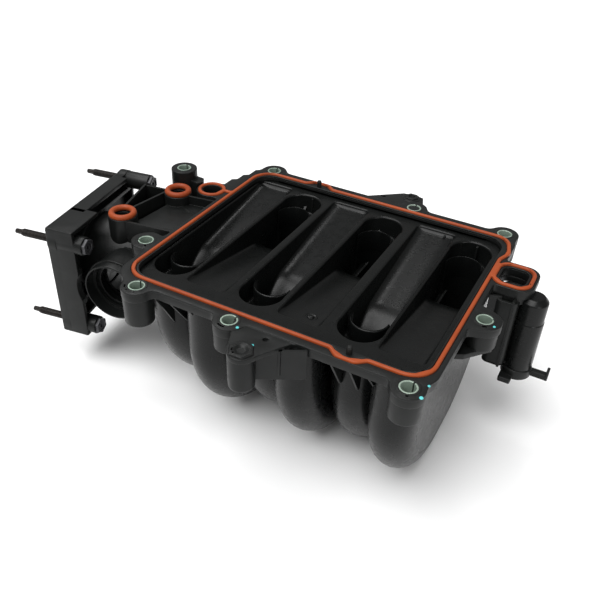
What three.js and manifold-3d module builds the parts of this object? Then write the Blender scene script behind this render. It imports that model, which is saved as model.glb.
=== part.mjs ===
// Upper intake manifold of a V6 engine, lying with its gasket face up.
// Millimetres, +Z up. Drawn with the gasket face at z = 0 and the middle of the
// perimeter seal at x = y = 0, then moved so that the origin is at the middle of the base.
import * as THREE from 'three';
import { mergeVertices } from 'three/addons/utils/BufferGeometryUtils.js';
import Module from 'manifold-3d';

const wasm = await Module();
wasm.setup();

// ---------------------------------------------------------------- dimensions
const GAP = 0.3; // air left between two pieces that meet

const FLANGE = { halfX: 148, halfY: 130, corner: 22, thick: 9 };
const WELL = { halfX: 137.6, halfY: 115.6, corner: 19 }; // open middle of the flange
const FLOOR = { top: -6, bottom: -13 };

const SEAL = { halfX: 141.5, halfY: 119.8, corner: 21, width: 3.6, proud: 1.5, sunk: 1.9 };
const JOG = { out: 6.8, half: 10, slope: 6 }; // the seal steps out round each dowel
const FRONT_DOWEL = [78, -119.4];
const BACK_DOWEL = [-70, 119.4];
const EGR = { x: -164.4, y: 52.3, ring: 12.9, hole: 9.4 };
const BREATHER = { x: 161.5, y: 57, halfX: 16.5, halfY: 18, corner: 11 };

const LIMITER = { outer: 7.5, inner: 6, slit: 1.7 };
const BOSS_R = 13.9;
// name, x, y, height of the top, height of the bottom
const BOSSES = [
  ['front_left', -117.5, -131.6, 0, -36],
  ['front_mid', -23.6, -131.3, 0, -26],
  ['front_right', 131.5, -131.3, 0, -28],
  ['side_right', 156.4, -21.4, 0, -25],
  ['back_right', 132.7, 128.2, 0, -28],
  ['back_mid', 36, 130.2, 0, -26],
  ['back_left', -130.9, 127.6, 0, -36],
  ['side_left', -157.9, -67.5, 0, -25],
  ['tall', -204.6, 59, 12, -34],
];

const RUNNER = { wall: 2.8, bend: 85, floor: -160.5 };
// A runner that stands proud at one side of the engine is set back at the other.
const PROUD = { r: 19.5, near: -126.5, far: 108 };
const SET_BACK = { r: 21.8, near: -108, far: 126.5 };
const RUNNER_X = [-101, -59, -13, 29, 75, 117];
// The channels in the floor do not lie right above their runners.
const CHANNEL_X = [-116.5, -73, -25.5, 19.5, 69.5, 112];

// Middle of the deep pocket and its radius, then the far end of the ramp and its half width,
// then the shallow trough above: middle of its round end, half width and square end.
const CHANNEL = { wall: 1.8, slope: 0.17, lipDepth: 4, pocketDepth: -46 };
const PROUD_CHANNEL = { reach: 69, pocket: 17, tail: 94, tailHalf: 17, brim: 86, lip: 19, end: 96 };
const SET_BACK_CHANNEL = { reach: 58, pocket: 17, tail: 108, tailHalf: 17, brim: 76, lip: 19, end: 110 };

// The throttle flange stands upright and is turned a little about the vertical.
const THROTTLE = {
  corner: [-252.8, -101.3, 0],
  yaw: THREE.MathUtils.degToRad(9.13),
  width: 146,
  height: 123,
  depth: 29.5,
  slab: 10,
  bore: 38,
  boreAt: [71, -62],
};
const STUDS = [
  ['front', 8.8, -17],
  ['back', 138, -8.6],
  ['low', 10.2, -113.5],
];
const STUD = { r: 4, nose: 2.7, tip: -42, end: 35, nut: 8.6, lug: 9.6 };

const DUCT = { outer: 44, inner: 40.5, y: -13, z: -62 };
const SIDE_PORT = { x: -190, z: -61, outer: 30.7, inner: 26.8, lip: -88.6 };
const COOLANT = { pipe: 14.6, hole: 7.6, seal: 11, section: 3.1, top: -2.4 };
const COOLANT_AT = [
  ['near', -211.1, -37.4],
  ['far', -193.2, 31],
];

const VALVE = { x: 184.5, y: 48, outer: 13.4, inner: 11, top: -8, bottom: -86 };

// ------------------------------------------------------------------- helpers
const V2 = (x, y) => new THREE.Vector2(x, y);
const V3 = (x, y, z) => new THREE.Vector3(x, y, z);

let placing = new THREE.Matrix4();

// Builds solids in a frame of their own, such as the turned throttle flange.
function inFrame(matrix, build) {
  const before = placing;
  placing = before.clone().multiply(matrix);
  const made = build();
  placing = before;
  return made;
}

function solid(geometry) {
  const bare = new THREE.BufferGeometry();
  bare.setAttribute('position', geometry.getAttribute('position').clone());
  if (geometry.index) bare.setIndex(geometry.index);
  bare.applyMatrix4(placing);
  const merged = mergeVertices(bare, 1e-4);
  return new wasm.Manifold(
    new wasm.Mesh({
      numProp: 3,
      vertProperties: new Float32Array(merged.getAttribute('position').array),
      triVerts: new Uint32Array(merged.index.array),
    }),
  );
}

function block(x0, x1, y0, y1, z0, z1) {
  const g = new THREE.BoxGeometry(x1 - x0, y1 - y0, z1 - z0);
  g.translate((x0 + x1) / 2, (y0 + y1) / 2, (z0 + z1) / 2);
  return solid(g);
}

function post(x, y, r, z0, z1, segments = 24, rTop = r) {
  const g = new THREE.CylinderGeometry(rTop, r, z1 - z0, segments);
  g.rotateX(Math.PI / 2);
  g.translate(x, y, (z0 + z1) / 2);
  return solid(g);
}

function slab(shape, z0, z1) {
  const g = new THREE.ExtrudeGeometry(shape, { depth: z1 - z0, bevelEnabled: false, curveSegments: 6 });
  g.translate(0, 0, z0);
  return solid(g);
}

function turned(profile, x, y, segments = 24) {
  const g = new THREE.LatheGeometry(profile.map(([r, z]) => V2(r, z)), segments);
  g.rotateX(Math.PI / 2);
  g.translate(x, y, 0);
  return solid(g);
}

// A slab standing in the Y-Z plane between two x values.
function upright(points, x0, x1) {
  const g = new THREE.ExtrudeGeometry(new THREE.Shape(points), { depth: x1 - x0, bevelEnabled: false });
  g.rotateY(Math.PI / 2);
  g.rotateX(Math.PI / 2);
  g.translate(x0, 0, 0);
  return solid(g);
}

// A round bar along X.
function bar(x0, x1, y, z, r, segments = 24, rFar = r) {
  const g = new THREE.CylinderGeometry(rFar, r, x1 - x0, segments);
  g.rotateZ(-Math.PI / 2);
  g.translate((x0 + x1) / 2, y, z);
  return solid(g);
}

const polygon = (points) => new THREE.Shape(points.map(([x, y]) => V2(x, y)));

// A vertical wall between two plan points.
function wall(x0, y0, x1, y1, t, z0, z1) {
  const n = V2(y1 - y0, x0 - x1).normalize().multiplyScalar(t / 2);
  const shape = polygon([
    [x0 + n.x, y0 + n.y],
    [x1 + n.x, y1 + n.y],
    [x1 - n.x, y1 - n.y],
    [x0 - n.x, y0 - n.y],
  ]);
  return slab(shape, z0, z1);
}

function ring(x, y, r, section, z, segments = 24, sides = 8) {
  const g = new THREE.TorusGeometry(r, section, sides, segments);
  g.translate(x, y, z);
  return solid(g);
}

function coil(x, y, r, wire, z0, z1, turns, perTurn = 7) {
  const points = [];
  for (let i = 0; i <= turns * perTurn; i += 1) {
    const a = (2 * Math.PI * i) / perTurn;
    const z = z0 + wire + ((z1 - z0 - 2 * wire) * i) / (turns * perTurn);
    points.push(V3(x + r * Math.cos(a), y + r * Math.sin(a), z));
  }
  const curve = new THREE.CatmullRomCurve3(points, false, 'centripetal');
  const section = new THREE.Shape(circle(0, 0, wire, 4));
  const steps = turns * perTurn;
  return solid(new THREE.ExtrudeGeometry(section, { steps, bevelEnabled: false, extrudePath: curve }));
}

function roundedLoop(corners, steps = 5) {
  const out = [];
  corners.forEach(([x, y, r], i) => {
    const [px, py] = corners[(i + corners.length - 1) % corners.length];
    const [nx, ny] = corners[(i + 1) % corners.length];
    const here = V2(x, y);
    const back = V2(px - x, py - y).normalize();
    const ahead = V2(nx - x, ny - y).normalize();
    const half = Math.acos(THREE.MathUtils.clamp(back.dot(ahead), -1, 1)) / 2;
    const reach = r / Math.tan(half);
    const centre = here.clone().addScaledVector(back.clone().add(ahead).normalize(), r / Math.sin(half));
    const from = here.clone().addScaledVector(back, reach).sub(centre);
    const to = here.clone().addScaledVector(ahead, reach).sub(centre);
    const start = from.angle();
    let turn = to.angle() - start;
    if (turn > Math.PI) turn -= 2 * Math.PI;
    if (turn < -Math.PI) turn += 2 * Math.PI;
    for (let k = 0; k <= steps; k += 1) {
      const a = start + (turn * k) / steps;
      out.push(V2(centre.x + r * Math.cos(a), centre.y + r * Math.sin(a)));
    }
  });
  return out;
}

function offsetLoop(points, d) {
  return points.map((p, i) => {
    const a = points[(i + points.length - 1) % points.length];
    const b = points[(i + 1) % points.length];
    const t = V2(b.x - a.x, b.y - a.y).normalize();
    return V2(p.x + t.y * d, p.y - t.x * d);
  });
}

// A closed strip of the given width along a loop.
function ribbon(loop, width, z0, z1) {
  const shape = new THREE.Shape(offsetLoop(loop, width / 2));
  shape.holes.push(new THREE.Path(offsetLoop(loop, -width / 2)));
  return slab(shape, z0, z1);
}

function rectangle(halfX, halfY, r, cx = 0, cy = 0, steps = 5) {
  return roundedLoop(
    [
      [cx - halfX, cy - halfY, r],
      [cx + halfX, cy - halfY, r],
      [cx + halfX, cy + halfY, r],
      [cx - halfX, cy + halfY, r],
    ],
    steps,
  );
}

function circle(cx, cy, r, n) {
  return Array.from({ length: n }, (_, i) => {
    const a = (2 * Math.PI * i) / n;
    return V2(cx + r * Math.cos(a), cy + r * Math.sin(a));
  });
}

const all = (list) => list.reduce((a, b) => a.add(b));
const less = (body, list) => list.reduce((a, b) => a.subtract(b), body);

// ----------------------------------------------------------------- materials
const material = (color, roughness, metalness = 0) =>
  new THREE.MeshStandardMaterial({ color, roughness, metalness });
const NYLON = () => material(0x1b1c1d, 0.5);
const SEAL_RUBBER = () => material(0xc05522, 0.55);
const ZINC = () => material(0xb9bfb4, 0.35, 1);
const DARK_STEEL = () => material(0x2a2a2b, 0.4, 1);
const STEEL = () => material(0x9a9da0, 0.3, 1);

const manifold = new THREE.Group();
manifold.name = 'intake_manifold';

function piece(name, body, finish) {
  const mesh = body.getMesh();
  const g = new THREE.BufferGeometry();
  g.setAttribute('position', new THREE.BufferAttribute(new Float32Array(mesh.vertProperties), 3));
  g.setIndex(new THREE.BufferAttribute(new Uint32Array(mesh.triVerts), 1));
  g.computeVertexNormals();
  const node = new THREE.Mesh(g, finish());
  node.name = name;
  manifold.add(node);
}

// ---------------------------------------------------- loops shared by pieces
const sealLoop = roundedLoop(
  [
    [-SEAL.halfX, -SEAL.halfY, SEAL.corner],
    [FRONT_DOWEL[0] - JOG.half - JOG.slope, -SEAL.halfY, 5],
    [FRONT_DOWEL[0] - JOG.half + 2, -SEAL.halfY - JOG.out, 6],
    [FRONT_DOWEL[0] + JOG.half - 2, -SEAL.halfY - JOG.out, 6],
    [FRONT_DOWEL[0] + JOG.half + JOG.slope, -SEAL.halfY, 5],
    [SEAL.halfX, -SEAL.halfY, SEAL.corner],
    [SEAL.halfX, 78, 12],
    [SEAL.halfX + 5, 92, 10],
    [SEAL.halfX - 2, SEAL.halfY, 16],
    [BACK_DOWEL[0] + JOG.half + JOG.slope, SEAL.halfY, 5],
    [BACK_DOWEL[0] + JOG.half - 2, SEAL.halfY + JOG.out, 6],
    [BACK_DOWEL[0] - JOG.half + 2, SEAL.halfY + JOG.out, 6],
    [BACK_DOWEL[0] - JOG.half - JOG.slope, SEAL.halfY, 5],
    [-SEAL.halfX, SEAL.halfY, SEAL.corner],
  ],
  3,
);
const breatherLoop = rectangle(
  BREATHER.halfX, BREATHER.halfY, BREATHER.corner, BREATHER.x, BREATHER.y, 4,
);
const egrLoop = circle(EGR.x, EGR.y, EGR.ring, 20);
const bridge = (width, z0, z1) =>
  block(EGR.x + EGR.ring - 1, -SEAL.halfX, EGR.y + 4 - width / 2, EGR.y + 4 + width / 2, z0, z1);

function sealBody(width, z0, z1) {
  return all([
    ribbon(sealLoop, width, z0, z1),
    ribbon(breatherLoop, width, z0, z1),
    ribbon(egrLoop, width, z0, z1),
    bridge(width, z0, z1),
  ]);
}

// ------------------------------------------------------------------- runners
// Side view of a runner's middle line: down at the near side, along the bottom, up again.
function runnerLine({ r, near, far }, steps) {
  const low = RUNNER.floor + r;
  const turn = (k) => (Math.PI / 2) * (k / steps);
  const line = [[near + r, 0, -1, 0]];
  for (let k = 0; k <= steps; k += 1) {
    const [s, c] = [Math.sin(turn(k)), Math.cos(turn(k))];
    line.push([near + r + RUNNER.bend * (1 - c), low + RUNNER.bend * (1 - s), -c, -s]);
  }
  for (let k = 0; k <= steps; k += 1) {
    const [s, c] = [Math.sin(turn(k)), Math.cos(turn(k))];
    line.push([far - r - RUNNER.bend * (1 - s), low + RUNNER.bend * (1 - c), s, -c]);
  }
  line.push([far - r, 0, 1, 0]);
  return line;
}

// A half-round trough shape: a half circle carried along the line, filled up to z = 0.
function runnerSolid(size, inset, steps, sides) {
  const r = size.r - inset;
  const line = runnerLine(size, steps);
  const positions = [];
  const faces = [];
  const row = sides + 1;
  line.forEach(([y, z, ny, nz]) => {
    for (let j = 0; j <= sides; j += 1) {
      const a = (Math.PI * j) / sides;
      const out = r * Math.sin(a);
      positions.push(r * Math.cos(a), y + ny * out, z + nz * out);
    }
  });
  for (let i = 0; i + 1 < line.length; i += 1) {
    for (let j = 0; j < sides; j += 1) {
      const a = i * row + j;
      faces.push(a, a + 1, a + row, a + 1, a + row + 1, a + row);
    }
  }
  const last = (line.length - 1) * row;
  const side = (j) => line.map((_, i) => i * row + j);
  const lid = [...Array(row).keys()].concat([...Array(row).keys()].map((j) => last + sides - j));
  const flat = (ids, u, v, flip) => {
    const contour = ids.map((i) => V2(positions[3 * i + u], positions[3 * i + v]));
    const turnedBack = THREE.ShapeUtils.isClockWise(contour);
    const order = turnedBack ? ids.slice().reverse() : ids;
    const points = turnedBack ? contour.slice().reverse() : contour;
    THREE.ShapeUtils.triangulateShape(points, []).forEach(([a, b, c]) => {
      faces.push(...(flip ? [order[a], order[c], order[b]] : [order[a], order[b], order[c]]));
    });
  };
  flat(side(0), 1, 2, false);
  flat(side(sides), 1, 2, true);
  flat(lid, 0, 1, false);
  const g = new THREE.BufferGeometry();
  g.setAttribute('position', new THREE.Float32BufferAttribute(positions, 3));
  g.setIndex(faces);
  return solid(g);
}

// Above this level the sides of the runners belong to the floor piece.
const chuteRoom = (x0) => block(x0, 400, -99, 113.5, CHANNEL.pocketDepth - 2.3, 50);
const floorRoom = slab(
  new THREE.Shape(rectangle(WELL.halfX, WELL.halfY, WELL.corner)),
  FLOOR.bottom - GAP,
  10,
).add(chuteRoom(-400));

const at = (x) => new THREE.Matrix4().makeTranslation(x, 0, 0);

RUNNER_X.forEach((x, i) => {
  const kind = i % 2 ? PROUD : SET_BACK;
  const outer = inFrame(at(x), () => runnerSolid(kind, 0, 4, 8));
  const inner = inFrame(at(x), () => runnerSolid(kind, RUNNER.wall, 3, 6));
  const cuts = [inner, floorRoom, block(-400, 400, -400, 400, -FLANGE.thick - GAP, 50)];
  if (i === 0) cuts.push(bar(x - 30, x, DUCT.y, DUCT.z, DUCT.inner - 3, 24));
  piece(`runner_shell_${i + 1}`, less(outer, cuts), NYLON);
});

// --------------------------------------------- floor with its runner channels
// Each channel is wide and deep at one end and its ramp rises to a tail at the other.
// They are drawn with the pocket towards -Y; the others are turned half round.
function channel(size, grow, z0, z1) {
  const r = size.pocket + grow;
  const points = [];
  for (let k = 0; k <= 10; k += 1) {
    const a = Math.PI * (1 + k / 10);
    points.push([r * Math.cos(a), -size.reach + r * Math.sin(a)]);
  }
  points.push([size.tailHalf + grow, size.tail + grow], [-size.tailHalf - grow, size.tail + grow]);
  return slab(polygon(points), z0, z1);
}

function channelSide(size, drop) {
  const { slope, pocketDepth } = CHANNEL;
  const brink = -size.reach + size.pocket * 0.7;
  const top = FLOOR.top - 0.5;
  const low = top - slope * (size.tail - brink);
  return [
    V2(size.tail + 20, 9),
    V2(size.tail + 20, top - drop),
    V2(size.tail, top - drop),
    V2(brink + drop / 2, low - drop),
    V2(brink + drop / 2, drop ? pocketDepth : -90),
    V2(-140, drop ? pocketDepth : -90),
    V2(-140, 9),
  ];
}

const turnedHalf = (x, i) => at(x).multiply(new THREE.Matrix4().makeRotationZ(i % 2 ? Math.PI : 0));

const chutes = [];
const openings = [];
CHANNEL_X.forEach((x, i) => {
  const size = i % 2 ? PROUD_CHANNEL : SET_BACK_CHANNEL;
  inFrame(turnedHalf(x, i), () => {
    chutes.push(
      channel(size, CHANNEL.wall, CHANNEL.pocketDepth, FLOOR.bottom + 1)
        .intersect(upright(channelSide(size, 2.4), -60, 60)),
    );
    openings.push(channel(size, 0, -80, 5).intersect(upright(channelSide(size, 0), -60, 60)));
    const mouth = post(0, -size.brim, size.lip, FLOOR.top - CHANNEL.lipDepth, 5, 20);
    openings.push(mouth, block(-size.lip, size.lip, -size.brim, size.end, FLOOR.top - CHANNEL.lipDepth, 5));
  });
});
const floorPlate = slab(
  new THREE.Shape(rectangle(WELL.halfX - GAP, WELL.halfY - GAP, WELL.corner)),
  FLOOR.bottom,
  FLOOR.top,
);
const stiffBoss = post(25, -79, 6, FLOOR.top - CHANNEL.lipDepth - 6, FLOOR.top - CHANNEL.lipDepth + 2, 16, 5);
piece('plenum_floor', less(all([floorPlate, ...chutes]), openings).add(stiffBoss), NYLON);

// ------------------------------------------------------------ gasket flange
const pad = (x, y, r, z0 = -FLANGE.thick) => post(x, y, r, z0, 0, 20);
const flangeParts = [
  slab(new THREE.Shape(rectangle(FLANGE.halfX, FLANGE.halfY, FLANGE.corner)), -FLANGE.thick, 0),
  slab(new THREE.Shape(rectangle(21, 22.5, 13, BREATHER.x, BREATHER.y)), -FLANGE.thick, 0),
  block(-160, -140, -80, -55, -FLANGE.thick, 0),
  slab(polygon([[140, -46], [157, -35], [168, -24], [168, -16], [157, -8], [140, 4]]), -FLANGE.thick, 0),
  pad(EGR.x, EGR.y, EGR.ring + 3.6, -34),
  slab(polygon([[-143, 36], [-143, 122], [-150, 118], [-150, 104], [-155, 100], [-155, 88],
    [-160, 84], [-160, 70], [-166, 66], [-166, 40]]), -FLANGE.thick, 0),
];
BOSSES.filter(([name]) => name !== 'tall').forEach(([, x, y, z1, z0]) => {
  flangeParts.push(post(x, y, BOSS_R - 0.5, z0, z1, 16, BOSS_R));
});
// Front bracket: a hexagon-topped post, the shelf behind it and the web below.
const HEX_POST = [4.9, -158.5];
flangeParts.push(
  slab(polygon([[-22, -128], [-7, -160], [17, -160], [34, -131.5], [50, -128]]), -5, -0.8),
  post(...HEX_POST, 11, -33, -1, 24, 11.8),
  post(...HEX_POST, 11, -35.5, -33, 24, 11),
  post(...HEX_POST, 11.2, -1, 1.2, 6),
  wall(10, -153, 48, -131, 2.6, -31, -2),
  wall(-4, -152, -22, -134, 2.6, -22, -2),
);
// Back bracket with a smaller post.
flangeParts.push(
  slab(polygon([[-25, 127], [14, 158], [36, 158], [48, 127]]), -7, -1),
  post(25.4, 151, 9.4, -20, 0, 20),
  post(25.4, 151, 7.6, -1, 1.4, 6),
);
// Thin gussets from the flange edge down to the runners.
const gusset = (x, y, back, drop, t = 2) =>
  upright([V2(y, -4), V2(y, -FLANGE.thick - 1), V2(back, -drop), V2(back, -4)], x - t / 2, x + t / 2);
[[-84, -129, -104, 46], [-104, -129, -108.6, 52], [68, -129, -108.6, 44], [83, -129, -108.6, 44],
  [90, -129, -106, 40], [-16, -129, -108.6, 40]].forEach(([x, y, back, drop]) => {
  flangeParts.push(gusset(x, y, back, drop));
  flangeParts.push(gusset(14 - x, -y, -back, drop));
});
// Foot under the right-hand lug.
flangeParts.push(slab(polygon([[138.4, -50], [150, -44], [168, -22], [160, -12], [138.4, -2]]), -30, -24.5));
flangeParts.push(wall(140, -36, 152, -30, 3, -28, -4));

const flangeCuts = [
  slab(new THREE.Shape(rectangle(WELL.halfX, WELL.halfY, WELL.corner)), -60, 5),
  sealBody(SEAL.width + 0.7, -SEAL.sunk - GAP, 8),
  post(EGR.x, EGR.y, EGR.hole, -40, 5, 24),
  slab(new THREE.Shape(rectangle(12, 13.5, 8, BREATHER.x, BREATHER.y, 3)), -50, 5),
  post(...HEX_POST, 4.5, -0.3, 2, 16, 7),
  post(14, -137, 2.4, -9, 2, 12),
  post(-2, 140, 2.2, -9, 2, 12),
  post(VALVE.x, VALVE.y, VALVE.outer + GAP, -95, VALVE.top + GAP, 24),
];
RUNNER_X.forEach((x, i) => {
  const { r, near, far } = i % 2 ? PROUD : SET_BACK;
  flangeCuts.push(post(x, i % 2 ? near + r : far - r, r + GAP, -60, -FLANGE.thick, 16));
});
BOSSES.forEach(([, x, y]) => flangeCuts.push(post(x, y, LIMITER.outer + GAP, -60, 20, 14)));
[FRONT_DOWEL, BACK_DOWEL].forEach(([x, y]) => flangeCuts.push(post(x, y, 2.5 + 0.05, -6, 5, 12)));
piece('gasket_flange', less(all(flangeParts), flangeCuts), NYLON);

// ------------------------------------------------- seals, limiters and dowels
piece('perimeter_seal', sealBody(SEAL.width, -SEAL.sunk, SEAL.proud), SEAL_RUBBER);
BOSSES.forEach(([name, x, y, z1, z0], i) => {
  const slitAt = (i * 137.5 * Math.PI) / 180;
  const slit = inFrame(
    new THREE.Matrix4().makeTranslation(x, y, 0).multiply(new THREE.Matrix4().makeRotationZ(slitAt)),
    () => block(3, 10, -LIMITER.slit / 2, LIMITER.slit / 2, z0 - 1, z1 + 1),
  );
  const tube = post(x, y, LIMITER.outer, z0 + 0.4, z1 + 0.2, 14);
  piece(`limiter_${name}`, less(tube, [post(x, y, LIMITER.inner, z0 - 1, z1 + 1, 14), slit]), ZINC);
});
[['front', FRONT_DOWEL, 2.5], ['back', BACK_DOWEL, 2.5]].forEach(([name, [x, y], r]) => {
  piece(`dowel_${name}`, post(x, y, r, -5.9, 6.5, 12).add(post(x, y, r, 6.5, 7.3, 12, r - 0.8)), NYLON);
});

// --------------------------------------------------------- throttle flange
const throttleFrame = new THREE.Matrix4()
  .makeTranslation(...THROTTLE.corner)
  .multiply(new THREE.Matrix4().makeRotationZ(THROTTLE.yaw));

inFrame(throttleFrame, () => {
  const { width, height, depth, slab: front, bore, boreAt } = THROTTLE;
  const outline = roundedLoop([
    [0, 0, 2.5], [0, -height, 2.5], [30, -height, 12], [104, -height + 4, 40],
    [width - 4, -62, 30], [width, -20, 8], [width, 0, 8],
  ], 4);
  const parts = [
    upright(outline, 0, front),
    block(0, depth, 0, 4, -height, 0),
    block(0, depth, 0, 46, -4, 0),
    block(0, 17, 40, width - 22, -4, 0),
    block(0, depth, 0, 26, -height, -height + 4),
  ];
  STUDS.forEach(([, y, z]) => parts.push(bar(0, STUD.end - 1, y, z, STUD.lug, 16)));
  parts.push(bar(front - 1, front + 7, ...boreAt, bore + 4, 24));
  const cuts = [
    bar(-5, 60, ...boreAt, bore, 24),
    bar(front + 1, 60, ...boreAt, DUCT.outer + GAP, 24).intersect(block(front + 7, 60, -50, 200, -200, 20)),
  ];
  const scallop = new THREE.CylinderGeometry(34, 34, 12, 20);
  scallop.translate(60, 2, -63);
  cuts.push(solid(scallop));
  STUDS.forEach(([, y, z]) => {
    cuts.push(bar(-1, 22, y, z, STUD.r + GAP, 10));
    cuts.push(bar(27, 40, y, z, 3.4, 10));
  });
  piece('throttle_flange', less(all(parts), cuts), NYLON);
  STUDS.forEach(([name, y, z]) => {
    const { r, nose, tip } = STUD;
    const body = all([
      bar(tip, tip + 5, y, z, nose, 10),
      bar(tip + 5, tip + 8, y, z, nose, 10, r),
      bar(tip + 8, 21, y, z, r, 10),
    ]);
    piece(`throttle_stud_${name}`, body, DARK_STEEL);
    const hex = bar(STUD.end - 0.7, STUD.end + 3, y, z, STUD.nut, 6).add(bar(28, STUD.end, y, z, 3, 10));
    piece(`stud_socket_${name}`, hex.subtract(bar(STUD.end - 3, STUD.end + 5, y, z, 2, 8)), DARK_STEEL);
  });
});

// The intake duct runs from the throttle flange to the end runner.
const axisFrame = throttleFrame.clone().multiply(new THREE.Matrix4().makeTranslation(0, ...THROTTLE.boreAt));
const wholeDuct = (r, x0, x1) =>
  all([
    inFrame(axisFrame, () => bar(x0, x1, 0, 0, r, 24)),
    bar(-176, -100, DUCT.y, DUCT.z, r - 2, 24),
  ]);
function portBar(r, y0, y1) {
  const g = new THREE.CylinderGeometry(r, r, y1 - y0, 24);
  g.translate(0, (y0 + y1) / 2, 0);
  return inFrame(
    new THREE.Matrix4().makeTranslation(SIDE_PORT.x, SIDE_PORT.lip, SIDE_PORT.z)
      .multiply(new THREE.Matrix4().makeRotationZ(THROTTLE.yaw)),
    () => solid(g),
  );
}
const roomOf = ({ r, near, far }) => ({ r: r + GAP, near: near - GAP, far: far + GAP });
const shellRoom = inFrame(at(RUNNER_X[0]), () => runnerSolid(roomOf(SET_BACK), 0, 4, 8));
const ductOuter = all([wholeDuct(DUCT.outer, THROTTLE.slab + 7 + GAP, 95), portBar(SIDE_PORT.outer, 0, 46)]);
const ductCuts = [
  wholeDuct(DUCT.inner, THROTTLE.slab, 93),
  portBar(SIDE_PORT.inner, -2, 46),
  portBar(SIDE_PORT.inner + 2, -2, 13),
  shellRoom,
  chuteRoom(-139),
  block(-400, 400, -400, 400, -FLANGE.thick - GAP, 50),
];
piece('intake_duct', less(ductOuter, ductCuts), NYLON);

// ---------------------------------------------------------- coolant wing
const wingFloor = [[-226, -48], [-176, -56], [-148.5, -54], [-148.5, 36], [-168, 36], [-184, 50],
  [-193, 72], [-216, 72], [-224, 44], [-238, 30]];
const wingParts = [
  slab(polygon(wingFloor), -33, -30),
  wall(-200, -46, -149, -38, 2.6, -32, -3),
  wall(-214, -26, -206, 26, 2.6, -32, -3),
  wall(-222, -24, -236, 30, 2.6, -32, -4),
  wall(-224, -44, -212, -40, 2.6, -32, -4),
  wall(-236, 30, -206, 34, 2.6, -32, -5),
  wall(-180, 31, -149, 36, 2.6, -32, -3),
];
COOLANT_AT.forEach(([, x, y]) => wingParts.push(post(x, y, COOLANT.pipe, -36, COOLANT.top, 20)));
const tall = BOSSES.find(([name]) => name === 'tall');
wingParts.push(post(tall[1], tall[2], BOSS_R, tall[4], tall[3], 24, BOSS_R - 0.3));
wingParts.push(slab(polygon([[-206, 56], [-206, 68], [-184, 66], [-180, 58], [-184, 52]]), -33, 2));
const wingCuts = [
  wholeDuct(DUCT.outer + GAP, 10, 95),
  portBar(SIDE_PORT.outer + 5 * GAP, -1, 46),
  post(tall[1], tall[2], LIMITER.outer + GAP, -60, 20, 24),
  post(EGR.x, EGR.y, EGR.ring + 3.6 + GAP, -60, 20, 24),
  slab(polygon([[-166 - GAP, 36], [-166 - GAP, 66], [-160 - GAP, 72], [-140, 72], [-140, 36 - GAP]]), -10, 5),
];
COOLANT_AT.forEach(([, x, y]) => {
  wingCuts.push(post(x, y, COOLANT.hole, -60, 20, 16));
  wingCuts.push(
    post(x, y, COOLANT.seal + COOLANT.section + 0.2, COOLANT.top - 1.4, 5, 20)
      .subtract(post(x, y, COOLANT.seal - COOLANT.section - 0.2, -60, 20, 16)),
  );
});
inFrame(throttleFrame, () => {
  const { depth, height } = THROTTLE;
  wingCuts.push(block(-5, depth + GAP, -10, 160, -height, 20));
  STUDS.forEach(([, y, z]) => wingCuts.push(bar(0, STUD.end + 6, y, z, STUD.lug + GAP, 16)));
});
piece('coolant_wing', less(all(wingParts), wingCuts), NYLON);
COOLANT_AT.forEach(([name, x, y]) => {
  const z = COOLANT.top - 1.4 + COOLANT.section;
  piece(`coolant_seal_${name}`, ring(x, y, COOLANT.seal, COOLANT.section, z, 18, 6), SEAL_RUBBER);
});

// ------------------------------------------------ breather duct and valve well
// The passage from the duct into the side of the well.
const sidePassage = () => bar(VALVE.x - 18, VALVE.x, VALVE.y, VALVE.top - 12, 4.5, 12);
const wellRoom = post(VALVE.x, VALVE.y, VALVE.outer + GAP, -100, VALVE.top + GAP, 24);
const breatherParts = [
  slab(new THREE.Shape(rectangle(20, 21.5, 13, BREATHER.x - 0.5, BREATHER.y)), -16, -FLANGE.thick - GAP),
  slab(new THREE.Shape(rectangle(10.5, 18, 6, 163, 48)), VALVE.bottom + 2, -12),
  wall(169.3, 44, 169.3, 29, 2.2, -84, -FLANGE.thick - GAP),
  wall(158, 34, 147, 31, 2.4, -44, -FLANGE.thick - GAP),
];
const breatherCuts = [
  wellRoom,
  slab(new THREE.Shape(rectangle(12, 13.5, 8, BREATHER.x, BREATHER.y, 3)), -14, 5),
  slab(new THREE.Shape(rectangle(6.8, 15, 4, 162.6, 48, 3)), VALVE.bottom + 5, -10),
  sidePassage(),
];
piece('breather_duct', less(all(breatherParts), breatherCuts), NYLON);

const wellBody = turned(
  [[0, -12], [VALVE.inner, -13], [VALVE.inner, VALVE.bottom], [VALVE.outer, VALVE.bottom],
    [VALVE.outer, VALVE.top - 4], [11.6, VALVE.top - 1.2], [8, VALVE.top], [0, VALVE.top]],
  VALVE.x, VALVE.y, 24,
);
piece('valve_well', wellBody.subtract(sidePassage()), NYLON);

const CAP = { r: 14.2, top: VALVE.bottom - GAP, bottom: -98 };
const capParts = [
  post(VALVE.x, VALVE.y, CAP.r - 1, CAP.bottom, CAP.bottom + 1.2, 20, CAP.r),
  post(VALVE.x, VALVE.y, CAP.r, CAP.bottom + 1.2, CAP.top, 20),
  post(VALVE.x, VALVE.y, 10.6, CAP.top - 1, -78, 20),
  block(VALVE.x + 10, VALVE.x + 30, VALVE.y, VALVE.y + 7, -96.5, -90.5),
  block(VALVE.x + 27.6, VALVE.x + 30, VALVE.y, VALVE.y + 7, -96.5, -84.5),
  wall(VALVE.x - 3.6, VALVE.y - 9, VALVE.x - 8.6, VALVE.y - 20.5, 13, -98, -92.5),
];
const capGroove = post(VALVE.x, VALVE.y, 12, -83.6, -80.4, 20).subtract(post(VALVE.x, VALVE.y, 8.6, -90, -70, 20));
const capHollow = post(VALVE.x, VALVE.y, 8, -94, -70, 20);
piece('valve_cap', less(all(capParts), [capGroove, capHollow]), NYLON);
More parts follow.
